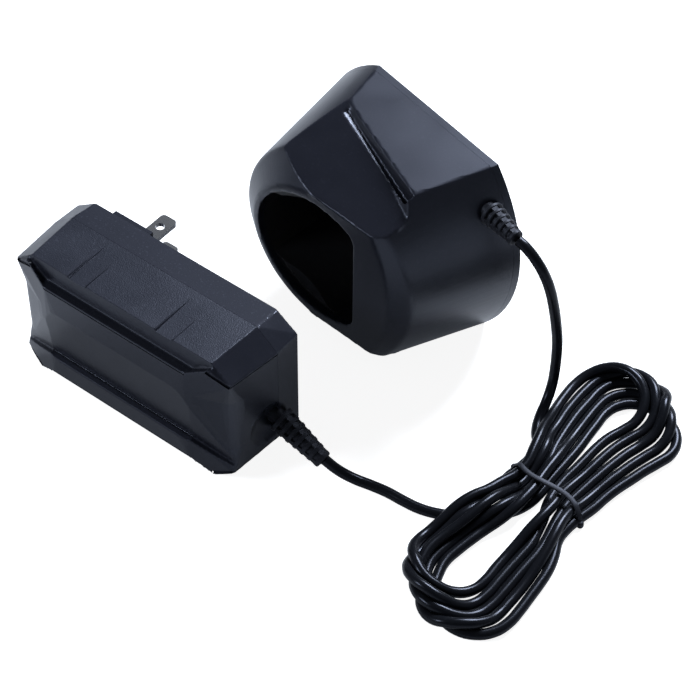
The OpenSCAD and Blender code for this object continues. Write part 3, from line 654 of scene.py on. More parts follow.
@dataclass
class StrainRelief:
    """A tapered rubber sleeve of rings joined by short bridges. Sizes in mm."""

    length: float
    seat: float
    rings: int
    root_d: float = 8.6
    tip_d: float = 5.6
    neck_d: float = 6.0
    inside: float = 8.0
    bore_d: float = 3.9
    ring_gap: float = 0.15
    ring_share: float = 0.56
    ring_edge: float = 0.35
    root_wall: float = 1.3
    tip_wall: float = 0.6
    bridge_w: float = 1.8
    bridge_sink: float = 0.25
    bridge_share: float = 0.62
    groove_at: float = 0.6
    groove_ease: float = 0.08
    ring_fall: float = 0.12
    chamfer: float = 0.3
    sides: int = 40

    def ring_radius(self, share: float) -> float:
        """Returns the sleeve's outer radius at a share of its length."""
        return (self.root_d + (self.tip_d - self.root_d) * share) / 2

    def profile(self, start: float, pitch: float) -> list[tuple[float, float]]:
        """Draws the sleeve's radius and height, from inside the housing to its tip.

        Args:
            start: height of the first ring.
            pitch: distance from ring to ring.

        Returns:
            The profile's points.
        """
        core = self.ring_radius(0) - self.root_wall
        tip_core = self.ring_radius(1) - self.tip_wall
        points = [(0.0, -self.inside), (self.neck_d / 2 - self.chamfer, -self.inside),
                  (self.neck_d / 2, -self.inside + self.chamfer), (self.neck_d / 2, start)]
        for i in range(self.rings):
            low = start + pitch * i
            high = low + pitch * self.ring_share
            outer = self.ring_radius(i / (self.rings - 1))
            inner = core + (tip_core - core) * (i + self.groove_at) / self.rings
            top = outer - self.ring_fall
            points += [(outer - self.ring_edge, low), (outer, low + self.chamfer),
                       (top, high - self.chamfer), (top - self.ring_edge, high)]
            if i < self.rings - 1:
                points += [(inner, high + self.groove_ease), (inner, low + pitch - self.groove_ease)]
        last = start + pitch * (self.rings - 1 + self.ring_share)
        return points + [(self.bore_d / 2, last), (0.0, self.length - self.chamfer)]

    def build(self, name: str, place: Matrix, node: str) -> None:
        """Builds the sleeve along z from the housing's face.

        Args:
            name: the piece's name.
            place: where the sleeve's frame lies.
            node: the solid that it replaces.
        """
        start = self.seat + self.ring_gap
        pitch = (self.length - start) / self.rings
        sleeve = add_turned("sleeve", self.profile(start, pitch), self.sides)
        for i in range(self.rings - 1):
            low = start + pitch * (i + 0.5)
            outer = self.ring_radius((i + self.groove_at) / (self.rings - 1)) - self.bridge_sink
            for quarter in (0, 1):
                bridge = add_box("bridge", (-self.bridge_w / 2, -outer, low),
                                 (self.bridge_w, 2 * outer, pitch * self.bridge_share))
                bridge.data.transform(turned("Z", 90 * quarter))
                combine(sleeve, "UNION", bridge)
        clean(sleeve, 2 * WELD)
        shade(sleeve, 40)
        finished(sleeve, name, RUBBER, place, node)


def relief_holes(seat: float, seat_r: float, place: Matrix) -> list[bpy.types.Object]:
    """Makes what is cut out of a wall for a strain relief.

    Args:
        seat: height at which its first ring seats.
        seat_r: radius of the seat.
        place: where the relief's frame lies.

    Returns:
        The seat and the hole for the neck.
    """
    holes = [add_cone("seat", (0, 0, seat), seat_r, seat_r, SEAT_OUT, 48),
             add_cone("neck", (0, 0, -NECK_OUT), NECK_R, NECK_R, 2 * NECK_OUT, 48)]
    for hole in holes:
        hole.data.transform(place)
    return holes


# ---------- cradle ----------

@dataclass
class Cradle:
    """The battery cradle, drawn upright on its base and laid on its flat side. Sizes in mm."""

    front_r: float = 51.2
    front_taper: float = 10.0
    back_r: float = 68.0
    back_taper: float = 16.0
    base_depth: float = 92.1
    side_half: float = 41.9
    side_taper: float = 3.1
    side_wedge: float = 3.4
    panel_taper: float = 20.0
    panel_start: float = 15.7
    step_height: float = 23.8
    step_angle: float = 15.6
    step_bevel: float = 20.0
    wall: float = 2.6
    mouth_height: float = 46.0
    mouth_ahead: float = 6.0
    mouth_tilt: float = 5.0
    mouth_r: float = 30.4
    mouth_back_r: float = 63.0
    mouth_back: float = 30.1
    shoulder_angle: float = 55.0
    socket_r: float = 26.6
    socket_flat: float = 15.2
    socket_corner_r: float = 6.0
    socket_ahead: float = 0.7
    socket_floor: float = 10.0
    cover_t: float = 2.4
    seat_gap: float = 0.06
    screw_gap: tuple[float, float] = (52.0, 50.0)
    boss_d: float = 7.0
    screw_d: float = 3.0
    boss_top: float = 16.0
    relief_root: Point = (32.0, 27.7, 7.5)
    relief_turn: float = 8.0
    relief_length: float = 15.5
    relief_seat: float = 0.9
    seat_r: float = 4.45
    place: tuple[float, float] = (20.3, 53.0)
    yaw: float = -8.95
    tall: float = 75.0
    far: float = 150.0
    panel_corners: tuple[tuple[float, float], ...] = (
        (-10.5, 46.6), (16.2, 43.7), (21.1, 37.0), (21.2, 30.7), (17.6, 30.1), (-6.0, 40.0))
    groove_start: tuple[float, float] = (-22.7, 20.7)
    groove_end: tuple[float, float] = (17.2, 30.3)
    panel_deep: float = 3.2
    side_corners: tuple[tuple[float, float], ...] = ((-20.5, 18.3), (18.6, 27.9))
    groove_sink: float = 1.1
    groove_open: tuple[float, float] = (6.0, 3.0)
    cut_low: Point = (-90, 4, 4)
    cut_size: Point = (180, 90, 90)
    shoulder_x: float = 1.0
    wall_sides: int = 144
    back_sides: int = 180
    boss_sides: int = 32
    screw_sides: int = 24
    corner_steps: int = 9
    round_steps: int = 72
    overlap: float = 1.0
    start_below: float = 5.0
    trim_below: float = 3.0
    first_melt: tuple[float, int] = (0.7, 12)
    last_melt: tuple[float, int, float] = (0.42, 7, 0.32)
    sharp_angle: float = 30.0

    def frame(self) -> Matrix:
        """Returns the upright cradle's place, lying on its flat side on the floor."""
        wedge, taper = math.radians(self.side_wedge), math.radians(self.side_taper)
        pitch = math.degrees(math.atan(math.tan(taper) / math.cos(wedge)))
        roll = math.degrees(math.asin(math.sin(wedge) * math.cos(taper)))
        height = self.side_half * math.cos(wedge) * math.cos(taper)
        return (Matrix.Translation((*self.place, height)) @ turned("Z", self.yaw)
                @ turned("Y", roll) @ turned("X", pitch) @ turned("X", 90))

    def mouth_frame(self) -> Matrix:
        """Returns the place of the mouth's tilted plane."""
        return (Matrix.Translation((-self.mouth_ahead, 0, self.mouth_height))
                @ turned("Y", self.mouth_tilt))

    def relief_frame(self) -> Matrix:
        """Returns the strain relief's axis on the upright cradle."""
        return Matrix.Translation(self.relief_root) @ turned("Y", 90 - self.relief_turn)

    def round_walls(self, inset: float, low: float) -> bpy.types.Object:
        """Crosses the front and back cones into the leaning round walls."""
        bodies = []
        for radius, taper, x in ((self.front_r, self.front_taper, 0.0),
                                 (self.back_r, self.back_taper,
                                  self.base_depth - self.front_r - self.back_r)):
            slope = math.tan(math.radians(taper))
            bodies.append(add_cone("walls", (x, 0, low), radius - inset - low * slope,
                                   radius - inset - self.tall * slope, self.tall - low,
                                   self.wall_sides))
        return combine(bodies[0], "INTERSECT", bodies[1])

    def shoulder(self, sink: float) -> bpy.types.Object:
        """Makes the room below the mouth's flat ring and the slopes around it."""
        spread = self.tall * math.tan(math.radians(self.shoulder_angle))
        front = add_cone("front_slope", (self.shoulder_x, 0, -sink - self.tall),
                         self.mouth_r + spread, self.mouth_r, self.tall, self.wall_sides)
        behind = add_box("behind", (self.shoulder_x, -self.far, -sink - self.tall),
                         (self.far, 2 * self.far, self.tall))
        back = add_cone("back_slope", (self.mouth_back - self.mouth_back_r, 0, -sink - self.tall),
                        self.mouth_back_r + spread, self.mouth_back_r, self.tall, self.back_sides)
        room = combine(combine(front, "UNION", behind), "INTERSECT", back)
        room.data.transform(self.mouth_frame())
        return room

    def trim_sides(self, obj: bpy.types.Object, half: float, taper: float) -> None:
        """Cuts both sides flat with mirrored leaning planes."""
        normal = self.side_normal(taper)
        for side in (1, -1):
            keep_below(obj, (0, side * half, 0), (normal.x, side * normal.y, normal.z))

    def panel_half(self) -> float:
        """Returns the half width that the slanted panels' planes would have at the base."""
        return self.side_half + (math.tan(math.radians(self.panel_taper))
                                 - math.tan(math.radians(self.side_taper))) * self.panel_start

    def side_normal(self, taper: float) -> Vector:
        """Returns the outward direction of the +y side's plane that leans by a taper."""
        return turned("Z", -self.side_wedge) @ turned("X", taper) @ Vector((0, 1, 0))

    def on_side(self, half: float, taper: float, x: float, z: float, out: float = 0.0) -> Vector:
        """Returns a point over a leaning side plane.

        Args:
            half: the plane's half width at the base.
            taper: how far the plane leans.
            x: the point's x.
            z: the point's height.
            out: how far it stands off the plane.

        Returns:
            The point.
        """
        normal = self.side_normal(taper)
        return Vector((x, half - (normal.x * x + normal.z * z) / normal.y, z)) + normal * out

    def panel_plate(self) -> bpy.types.Object:
        """Makes the panel's own plate, whose straight edges stand over the shoulder."""
        return add_facets("panel_plate", [
            self.on_side(self.panel_half(), self.panel_taper, x, z, -sink)
            for x, z in self.panel_corners for sink in (0.0, self.panel_deep)])

    def panel_groove(self) -> bpy.types.Object:
        """Makes the groove that runs along the step, between the panel and the flat side."""
        out = self.side_normal(self.panel_taper)
        over_panel, over_flat = self.groove_open
        rows = []
        for low, high in zip((self.groove_start, self.groove_end), self.side_corners):
            panel = self.on_side(self.panel_half(), self.panel_taper, *low)
            flat = self.on_side(self.side_half, self.side_taper, *high)
            bottom = self.on_side(self.panel_half(), self.panel_taper,
                                  (low[0] + high[0]) / 2, (low[1] + high[1]) / 2,
                                  -self.groove_sink)
            rows += [panel, flat, bottom, panel + out * over_panel, flat + out * over_flat]
        return add_facets("panel_groove", rows)

    def panel_cut(self) -> bpy.types.Object:
        """Makes the wedge that is cut off above the step, so that the slanted panel is left."""
        wedge = add_box("panel_cut", self.cut_low, self.cut_size)
        step = turned("Y", -self.step_angle) @ turned("X", -self.step_bevel) @ Vector((0, 0, -1))
        keep_below(wedge, (0, self.side_half, self.step_height), tuple(step))
        keep_below(wedge, (0, self.panel_half(), 0), tuple(-self.side_normal(self.panel_taper)))
        return wedge

    def socket_outline(self) -> list[tuple[float, float]]:
        """Returns the socket's outline: round, with a flat back between two round corners."""
        centre = -self.mouth_ahead - self.socket_ahead
        corner_x = self.socket_flat - self.socket_corner_r
        corner_y = math.sqrt((self.socket_r - self.socket_corner_r) ** 2 - corner_x ** 2)
        start = math.atan2(corner_y, corner_x)
        points = []
        for x, y, radius, first, last, count in (
                (corner_x, corner_y, self.socket_corner_r, 0, start, self.corner_steps),
                (0, 0, self.socket_r, start, math.tau - start, self.round_steps),
                (corner_x, -corner_y, self.socket_corner_r, -start, 0, self.corner_steps)):
            for i in range(count):
                turn = first + (last - first) * i / (count - 1)
                points.append((centre + x + radius * math.cos(turn), y + radius * math.sin(turn)))
        return [p for i, p in enumerate(points) if math.dist(p, points[i - 1]) > 2 * WELD]

    def cavity(self) -> bpy.types.Object:
        """Makes the room inside the shell, less the four screw bosses."""
        room = combine(self.round_walls(self.wall, self.cover_t - self.overlap), "INTERSECT",
                       self.shoulder(self.wall))
        self.trim_sides(room, self.side_half - self.wall, self.side_taper)
        panel_wall = self.wall / math.cos(math.radians(self.panel_taper))
        self.trim_sides(room, self.panel_half() - panel_wall, self.panel_taper)
        boss_r, screw_r = self.boss_d / 2, self.screw_d / 2
        for x, y in four_corners((self.base_depth - 2 * self.front_r) / 2, 0, self.screw_gap):
            boss = add_cone("boss", (x, y, self.cover_t - self.overlap / 2), boss_r, boss_r,
                            self.tall, self.boss_sides)
            hole = add_cone("hole", (x, y, self.cover_t - self.overlap), screw_r, screw_r,
                            self.boss_top - self.cover_t + self.overlap, self.screw_sides)
            combine(room, "DIFFERENCE", combine(boss, "DIFFERENCE", hole))
        return room

    def build_shell(self) -> None:
        """Builds the shell with its panels, steps, mouth and softly rounded edges.

        The outside starts below the cover's seat, so that no rounding reaches the parting line.
        """
        low = self.cover_t + self.seat_gap
        shell = combine(self.round_walls(0, low - self.start_below), "INTERSECT", self.shoulder(0))
        melt(shell, *self.first_melt)
        keep_below(shell, (0, 0, low - self.trim_below), (0, 0, -1))
        self.trim_sides(shell, self.side_half, self.side_taper)
        mouth = add_outline("mouth", self.socket_outline(), self.socket_floor, self.tall)
        combine(shell, "DIFFERENCE", *both_sides(self.panel_cut(), 1))
        combine(shell, "UNION", *both_sides(self.panel_plate(), 1))
        combine(shell, "DIFFERENCE", *both_sides(self.panel_groove(), 1), mouth)
        melt(shell, *self.last_melt)
        keep_below(shell, (0, 0, low), (0, 0, -1))
        combine(shell, "DIFFERENCE", self.cavity())
        combine(shell, "DIFFERENCE", *relief_holes(self.relief_seat, self.seat_r,
                                                   self.relief_frame()))
        shade_moulding(shell, self.sharp_angle)
        finished(shell, "cradle_body", SATIN, self.frame(), "cradle_shell")

    def build(self) -> None:
        """Builds the cradle's shell and its strain relief."""
        self.build_shell()
        relief = StrainRelief(length=self.relief_length, seat=self.relief_seat, rings=6)
        relief.build("cradle_relief", self.frame() @ self.relief_frame(), "cradle_strain_relief")


# ---------- adapter ----------

# Upward part of the direction of a face from which it counts as level.
LEVEL = 0.9


@dataclass
class Adapter:
    """The plug-in adapter with its parting line on y = 0 and its blades at the back. Sizes in mm."""

    length: float = 94.0
    height: float = 53.6
    crown_l: float = 77.6
    facet_drop: float = 6.8
    crown_depth: float = 20.4
    front_depth: float = 25.2
    rear_depth: float = 10.5
    rear_drop: float = 1.1
    rear_taper: float = 0.35
    wall: float = 2.2
    wall_more: float = 1.6
    waist_corner: tuple[float, float] = (45.0, -19.0)
    waist_front_x: float = 29.6
    waist_drop: float = 16.0
    cap_corner: Point = (45.0, -20.6, -5.95)
    cap_shoulder: Point = (37.6, -22.4, -1.7)
    lip_edge: Point = (29.4, -24.6, -6.4)
    crown_front_x: float = 37.6
    wall_foot: tuple[float, float] = (-21.3, -6.2)
    wall_rise: float = 0.6
    ramp_shift: float = 1.6
    ledge: Point = (30.5, -22.6, 15.2)
    ledge_top: float = 38.4
    ledge_end: Point = (46.6, -18.8, 8.5)
    pad_drop: float = 7.0
    groove_w: float = 0.8
    groove_depth: float = 1.1
    band_w: float = 6.9
    band_gap: float = 36.4
    rib_w: float = 1.1
    rib_h: float = 0.32
    rib_sink: float = 0.3
    rib_start: float = -4.0
    rib_out: float = 0.35
    band_fall: tuple[tuple[float, float], ...] = ((-2.0, -0.05), (-5.0, 0.195), (-60.0, 1.69))
    seam: float = 0.04
    dish_r: float = 16.0
    dish_depth: float = 2.9
    dish_ahead: float = 6.0
    relief_z: float = 17.0
    relief_droop: float = 24.0
    relief_length: float = 22.4
    relief_seat: float = 1.4
    seat_r: float = 4.85
    carrier: tuple[float, float] = (16.0, 37.0)
    carrier_gap: float = 0.3
    carrier_place: tuple[float, float] = (-23.2, 33.3)
    board_mid_x: float = -2.0
    board_size: tuple[float, float] = (76.0, 42.0)
    post_inset: float = 3.5
    post_r: float = 3.0
    post_sink: float = 0.2
    board_back: float = 3.6
    place: Point = (-20.5, -36.3, 0.0)
    corner_cuts: tuple[float, float] = (4.0, 5.0)
    corner_steps: int = 4
    lip_box_low: Point = (-60, -40, 40)
    lip_box_size: Point = (120, 30, 20)
    groove_open: float = 3.0
    ledge_slot: float = 0.05
    ledge_lean: float = 0.4
    ledge_overlap: float = 0.1
    corner_shift: Point = (0.0, 0.0, -0.5)
    shoulder_shift: Point = (-0.6, -0.3, -0.9)
    seam_shift: tuple[float, float] = (0.5, -0.5)
    lip_shift: Point = (0.3, 0.0, -0.75)
    shoulder_line: tuple[float, float] = (1.6, 0.9)
    corner_line: tuple[float, float] = (0.35, 0.4)
    lip_line: tuple[float, float] = (0.4, 0.45)
    band_slope: float = 0.5
    band_open: tuple[float, float] = (0.5, 1.0)
    rib_foot: float = 0.1
    rib_ends: tuple[float, float] = (0.3, 0.25)
    block_past: float = 3.0
    room_past: float = 4.0
    front_melt: tuple[float, int, float] = (0.4, 3, 0.33)
    rear_melt: tuple[float, int, float] = (0.5, 3, 0.4)
    sharp_angle: float = 24.0
    post_sides: int = 24

    def frame(self) -> Matrix:
        """Returns the adapter's place."""
        return Matrix.Translation(self.place)

    def relief_frame(self) -> Matrix:
        """Returns the strain relief's drooping axis on the end wall."""
        return (Matrix.Translation((self.length / 2 - 1, 0, self.relief_z))
                @ turned("Y", 90 + self.relief_droop))

    def waist_points(self, z: float, inset: float, back: float) -> list[Point]:
        """Returns the waist's outline at one height, with softly rounded corners.

        Args:
            z: the height.
            inset: how far inside the outer face.
            back: where the outline ends behind the parting line.

        Returns:
            The points of both halves.
        """
        half = self.length / 2
        corner = Vector((self.waist_corner[0] - inset, self.waist_corner[1]))
        front = Vector((self.waist_front_x - inset / 2, -self.front_depth + inset))
        start = Vector((half - inset, 0))
        points = [(half - inset, back), (half - inset, 0)]
        for before, knee, after, cut in zip((start, corner), (corner, front), (front, None),
                                            self.corner_cuts):
            ahead = (after - knee).normalized() if after is not None else Vector((-1, 0))
            behind = (before - knee).normalized()
            for i in range(self.corner_steps + 1):
                share = i / self.corner_steps
                points.append(tuple(knee + behind * cut * (1 - share) ** 2 + ahead * cut * share ** 2))
        return [(side * x, y, z) for x, y in points for side in (-1, 1)]

    def cap_points(self, inset: float, back: float) -> list[Point]:
        """Returns the cap's corners: lip, end facets and pad field."""
        half, crown = self.length / 2, self.crown_l / 2
        low, top = self.height - self.facet_drop, self.height
        corners = [(half - inset, back, low), (crown - inset, back, top - inset),
                   (half - inset, 0, low), (crown - inset, 0, top - inset),
                   (self.crown_front_x - inset, -self.crown_depth + inset, top - inset)]
        corners += [(x - inset, y + inset, top + drop - inset)
                    for x, y, drop in (self.cap_corner, self.cap_shoulder, self.lip_edge)]
        return [(side * x, y, z) for x, y, z in corners for side in (-1, 1)]

    def turned_over(self, obj: bpy.types.Object) -> bpy.types.Object:
        """Moves a solid from the adapter's top to the same place on its underside."""
        return flipped(obj, 2, self.height / 2)

    def front_block(self, inset: float, back: float) -> bpy.types.Object:
        """Joins the waist and the two caps into the front shell's outer form."""
        top = self.height - self.waist_drop
        waist = add_facets("waist", self.waist_points(top, inset, back)
                           + self.waist_points(self.height - top, inset, back))
        cap = add_facets("cap", self.waist_points(top - 0.01, inset, back)
                         + self.cap_points(inset, back))
        return combine(waist, "UNION", self.turned_over(copied(cap)), cap)

    def lip_cut(self) -> bpy.types.Object:
        """Makes what is cut away above the lip: a steep wall, a groove, the ledge and two ramps."""
        foot_y, foot_drop = self.wall_foot
        foot_z = self.height + foot_drop
        cut = add_box("lip_cut", self.lip_box_low, self.lip_box_size)
        wall = Vector((0, self.wall_rise - foot_drop, self.crown_depth + foot_y))
        keep_below(cut, (0, foot_y, foot_z), tuple(wall.normalized()))
        ledge = Vector((0, foot_drop - self.lip_edge[2], self.lip_edge[1] - foot_y))
        keep_below(cut, (0, foot_y, foot_z), tuple(ledge.normalized()))
        edge, shoulder = Vector(self.lip_edge), Vector(self.cap_shoulder)
        foot = Vector((self.lip_edge[0] + self.ramp_shift, foot_y, foot_drop))
        ramp = (foot - edge).cross(shoulder - edge).normalized()
        edge.z += self.height
        for side in (1, -1):
            keep_below(cut, (side * edge.x, edge.y, edge.z), (side * ramp.x, ramp.y, ramp.z))
        groove = add_box("groove", (-self.lip_edge[0], foot_y - self.groove_w,
                                    foot_z - self.groove_depth),
                         (2 * self.lip_edge[0], self.groove_w, self.groove_open))
        return combine(cut, "UNION", groove)

    def ledge_cuts(self) -> list[bpy.types.Object]:
        """Makes what leans the waist inwards above the lower lip, and leaves a ledge on it."""
        x, y, z = self.ledge
        front, out = -self.front_depth - self.ledge_slot, -self.front_depth - self.groove_open
        end_x, end_y, end_z = self.ledge_end
        section = ((y, z), (out, z), (front, self.ledge_top), (out, self.ledge_top))
        end_section = ((end_y, end_z), (out, end_z), (end_y - self.ledge_lean, self.ledge_top),
                       (out, self.ledge_top))
        cuts = [add_facets("ledge_cut", [(side * x, *p) for side in (-1, 1) for p in section])]
        for side in (-1, 1):
            cuts.append(add_facets("ledge_end", [(side * (x - self.ledge_overlap), *p) for p in section]
                                   + [(side * end_x, *p) for p in end_section]))
        return cuts

    def line_cut(self, start: Point, end: Point, out: Point, width: float,
                 depth: float) -> bpy.types.Object:
        """Makes a fine straight groove between two points of the surface.

        Args:
            start: one end, with its height from the top.
            end: the other end, likewise.
            out: direction out of the surface.
            width: the groove's width.
            depth: the groove's depth.

        Returns:
            The cutting solid.
        """
        top = Vector((0, 0, self.height))
        a, b = Vector(start) + top, Vector(end) + top
        normal = Vector(out).normalized()
        side = (b - a).cross(normal).normalized() * width / 2
        return add_facets("line", [p + s * side + normal * d for p in (a, b)
                                   for s in (-1, 1) for d in (-depth, 1.0)])

    def border_lines(self) -> list[bpy.types.Object]:
        """Makes the dark lines under the cap's border, on one side of one cap."""
        corner = Vector(self.cap_corner) + Vector(self.corner_shift)
        shoulder = Vector(self.cap_shoulder) + Vector(self.shoulder_shift)
        seam_y, seam_z = self.seam_shift
        seam_end = (self.length / 2, seam_y, seam_z - self.facet_drop)
        lip = Vector(self.lip_edge) + Vector(self.lip_shift)
        return [self.line_cut(shoulder, corner, (0.5, -1, 0.15), *self.shoulder_line),
                self.line_cut(corner, seam_end, (1, -0.08, 0), *self.corner_line),
                self.line_cut(lip, (0, lip.y, lip.z), (0, -1, 0.1), *self.lip_line)]

    def band_cut(self) -> bpy.types.Object:
        """Makes one sunk band across the pads, deeper towards the lip, with sloping edges.

        Returns:
            The cutting solid of the +x band on the top.
        """
        half = self.band_w / 2
        aside, above = self.band_open
        rows = []
        for y, sink in self.band_fall:
            for s in (-1, 1):
                rows += [(s * (half - self.band_slope * sink), y, self.height - sink),
                         (s * (half + aside), y, self.height + above)]
        band = add_facets("band", rows)
        band.data.transform(Matrix.Translation((self.band_gap / 2, 0, 0)))
        return band

    def band_ribs(self) -> bpy.types.Object:
        """Makes the two fine ribs along one band's edges, lower towards the parting line."""
        ribs = []
        wide, front = self.rib_w / 2, -self.crown_depth
        low = self.height - self.rib_sink
        crest, end = self.rib_ends
        for side in (-1, 1):
            x = self.band_gap / 2 + side * (self.band_w / 2 + self.rib_out)
            foot = [(x + s * wide, y, low) for s in (-1, 1) for y in (self.rib_start, front)]
            ribs.append(add_facets("rib", foot + [
                (x, self.rib_start, self.height - self.rib_foot),
                (x, front + crest, self.height + self.rib_h), (x, front - end, low)]))
        return combine(ribs[0], "UNION", ribs[1])

    def build_front(self) -> None:
        """Builds the front shell with its caps, pads, bands, lips and the dish at the cord."""
        shell = self.front_block(0.0, self.block_past)
        combine(shell, "DIFFERENCE", self.lip_cut(), self.turned_over(self.lip_cut()),
                *self.ledge_cuts())
        bpy.ops.object.select_all(action="DESELECT")
        bpy.ops.mesh.primitive_uv_sphere_add(
            segments=96, ring_count=64, radius=self.dish_r,
            location=(self.length / 2 - self.dish_depth + self.dish_r, -self.dish_ahead, self.relief_z))
        combine(shell, "DIFFERENCE", named(bpy.context.object, "dish"))
        melt(shell, *self.front_melt)
        for side in (-1, 1):
            for flip in (False, True):
                for cut in (self.band_cut(), *self.border_lines()):
                    if side < 0:
                        flipped(cut, 0)
                    if flip:
                        self.turned_over(cut)
                    combine(shell, "DIFFERENCE", cut)
            ribs = self.band_ribs()
            combine(shell, "UNION", ribs if side > 0 else flipped(ribs, 0))
        x, y, z = self.ledge
        crease = self.line_cut((-x, y, z - self.height), (x, y, z - self.height), (0, -1, 0.6),
                               *self.corner_line)
        room = self.front_block(self.wall + self.wall_more, self.room_past)
        combine(shell, "DIFFERENCE", crease, room, self.relief_hole())
        keep_below(shell, (0, -self.seam, 0), (0, 1, 0))
        shade_moulding(shell, self.sharp_angle)
        finished(shell, "adapter_front", SATIN, self.frame(), "adapter_front_shell")
        self.dress_pads(shell)

    def dress_pads(self, shell: bpy.types.Object) -> None:
        """Gives the pads and the lip's ledge their coarser texture."""
        shell.data.materials.append(TEXTURED.material())
        for face in shell.data.polygons:
            aside = abs(face.center.x / MM - self.place[0])
            level = abs(face.center.z / MM - self.height / 2)
            if (abs(face.normal.z) > LEVEL and aside < self.crown_l / 2
                    and level > self.height / 2 - self.pad_drop):
                face.material_index = 1

    def relief_hole(self) -> bpy.types.Object:
        """Makes the hole for the strain relief's neck and the seat of its first ring."""
        seat, neck = relief_holes(self.relief_seat, self.seat_r, self.relief_frame())
        return combine(neck, "UNION", seat)

    def rear_block(self, inset: float, front: float) -> bpy.types.Object:
        """Makes the shallow rear shell's outer form, lower towards its back face."""
        points = []
        for y, share in ((front, 0.0), (0.0, 0.0), (self.rear_depth - inset, 1.0)):
            less = inset + self.rear_taper * share
            for low, wide in ((self.facet_drop + 0.1 * share, self.length / 2 - less),
                              (inset + self.rear_drop * share, self.crown_l / 2 - less)):
                for side in (-1, 1):
                    points += [(side * wide, y, low), (side * wide, y, self.height - low)]
        return add_facets("rear", points)

    def build_rear(self) -> None:
        """Builds the rear shell with the window for the blade carrier and the board's posts."""
        shell = self.rear_block(0.0, -self.block_past)
        melt(shell, *self.rear_melt)
        x, z = self.carrier_place
        w, h = (size + self.carrier_gap for size in self.carrier)
        window = add_box("window", (x - w / 2, -5, z - h / 2), (w, 40, h))
        combine(shell, "DIFFERENCE", self.rear_block(self.wall, -self.room_past), window,
                self.relief_hole())
        post_l = self.rear_depth - self.wall - self.board_back + self.post_sink
        post_gap = tuple(size - 2 * self.post_inset for size in self.board_size)
        for x, z in four_corners(self.board_mid_x, self.height / 2, post_gap):
            post = add_cone("post", (0, 0, self.board_back), self.post_r, self.post_r, post_l,
                            self.post_sides)
            post.data.transform(Matrix.Translation((x, 0, z)) @ turned("X", -90))
            combine(shell, "UNION", post)
        keep_below(shell, (0, self.seam, 0), (0, -1, 0))
        shade_moulding(shell, self.sharp_angle)
        finished(shell, "adapter_rear", MATT, self.frame(), "adapter_rear_shell")
        shell.data.materials.append(SATIN.material())
        for face in shell.data.polygons:
            if abs(face.normal.z) < LEVEL:
                face.material_index = 1

    def build(self) -> None:
        """Builds the adapter's shells and its strain relief."""
        self.build_front()
        self.build_rear()
        relief = StrainRelief(length=self.relief_length, seat=self.relief_seat, rings=7,
                              root_d=9.4, tip_d=6.4)
        relief.build("adapter_relief", self.frame() @ self.relief_frame(), "adapter_strain_relief")


# ---------- cord ----------

# Steps of a smooth curve from one of its points to the next.
CURVE_STEPS = 12


def smooth_route(points: np.ndarray, step: float) -> np.ndarray:
    """Draws a smooth curve through the points, and divides it into equal steps.

    Args:
        points: route points, one per row.
        step: distance between the new points.

    Returns:
        The evenly spaced points.
    """
    ends = np.vstack([2 * points[0] - points[1], points, 2 * points[-1] - points[-2]])
    fine = []
    for p0, p1, p2, p3 in zip(ends[:-3], ends[1:-2], ends[2:-1], ends[3:]):
        for u in np.linspace(0, 1, CURVE_STEPS, endpoint=False):
            fine.append(0.5 * (2 * p1 + (p2 - p0) * u + (2 * p0 - 5 * p1 + 4 * p2 - p3) * u ** 2
                               + (3 * p1 - p0 - 3 * p2 + p3) * u ** 3))
    line = np.array(fine + [points[-1]])
    along = np.concatenate([[0], np.cumsum(np.linalg.norm(np.diff(line, axis=0), axis=1))])
    count = int(round(along[-1] / step))
    places = np.linspace(0, along[-1], count + 1)
    return np.column_stack([np.interp(places, along, line[:, k]) for k in range(3)])


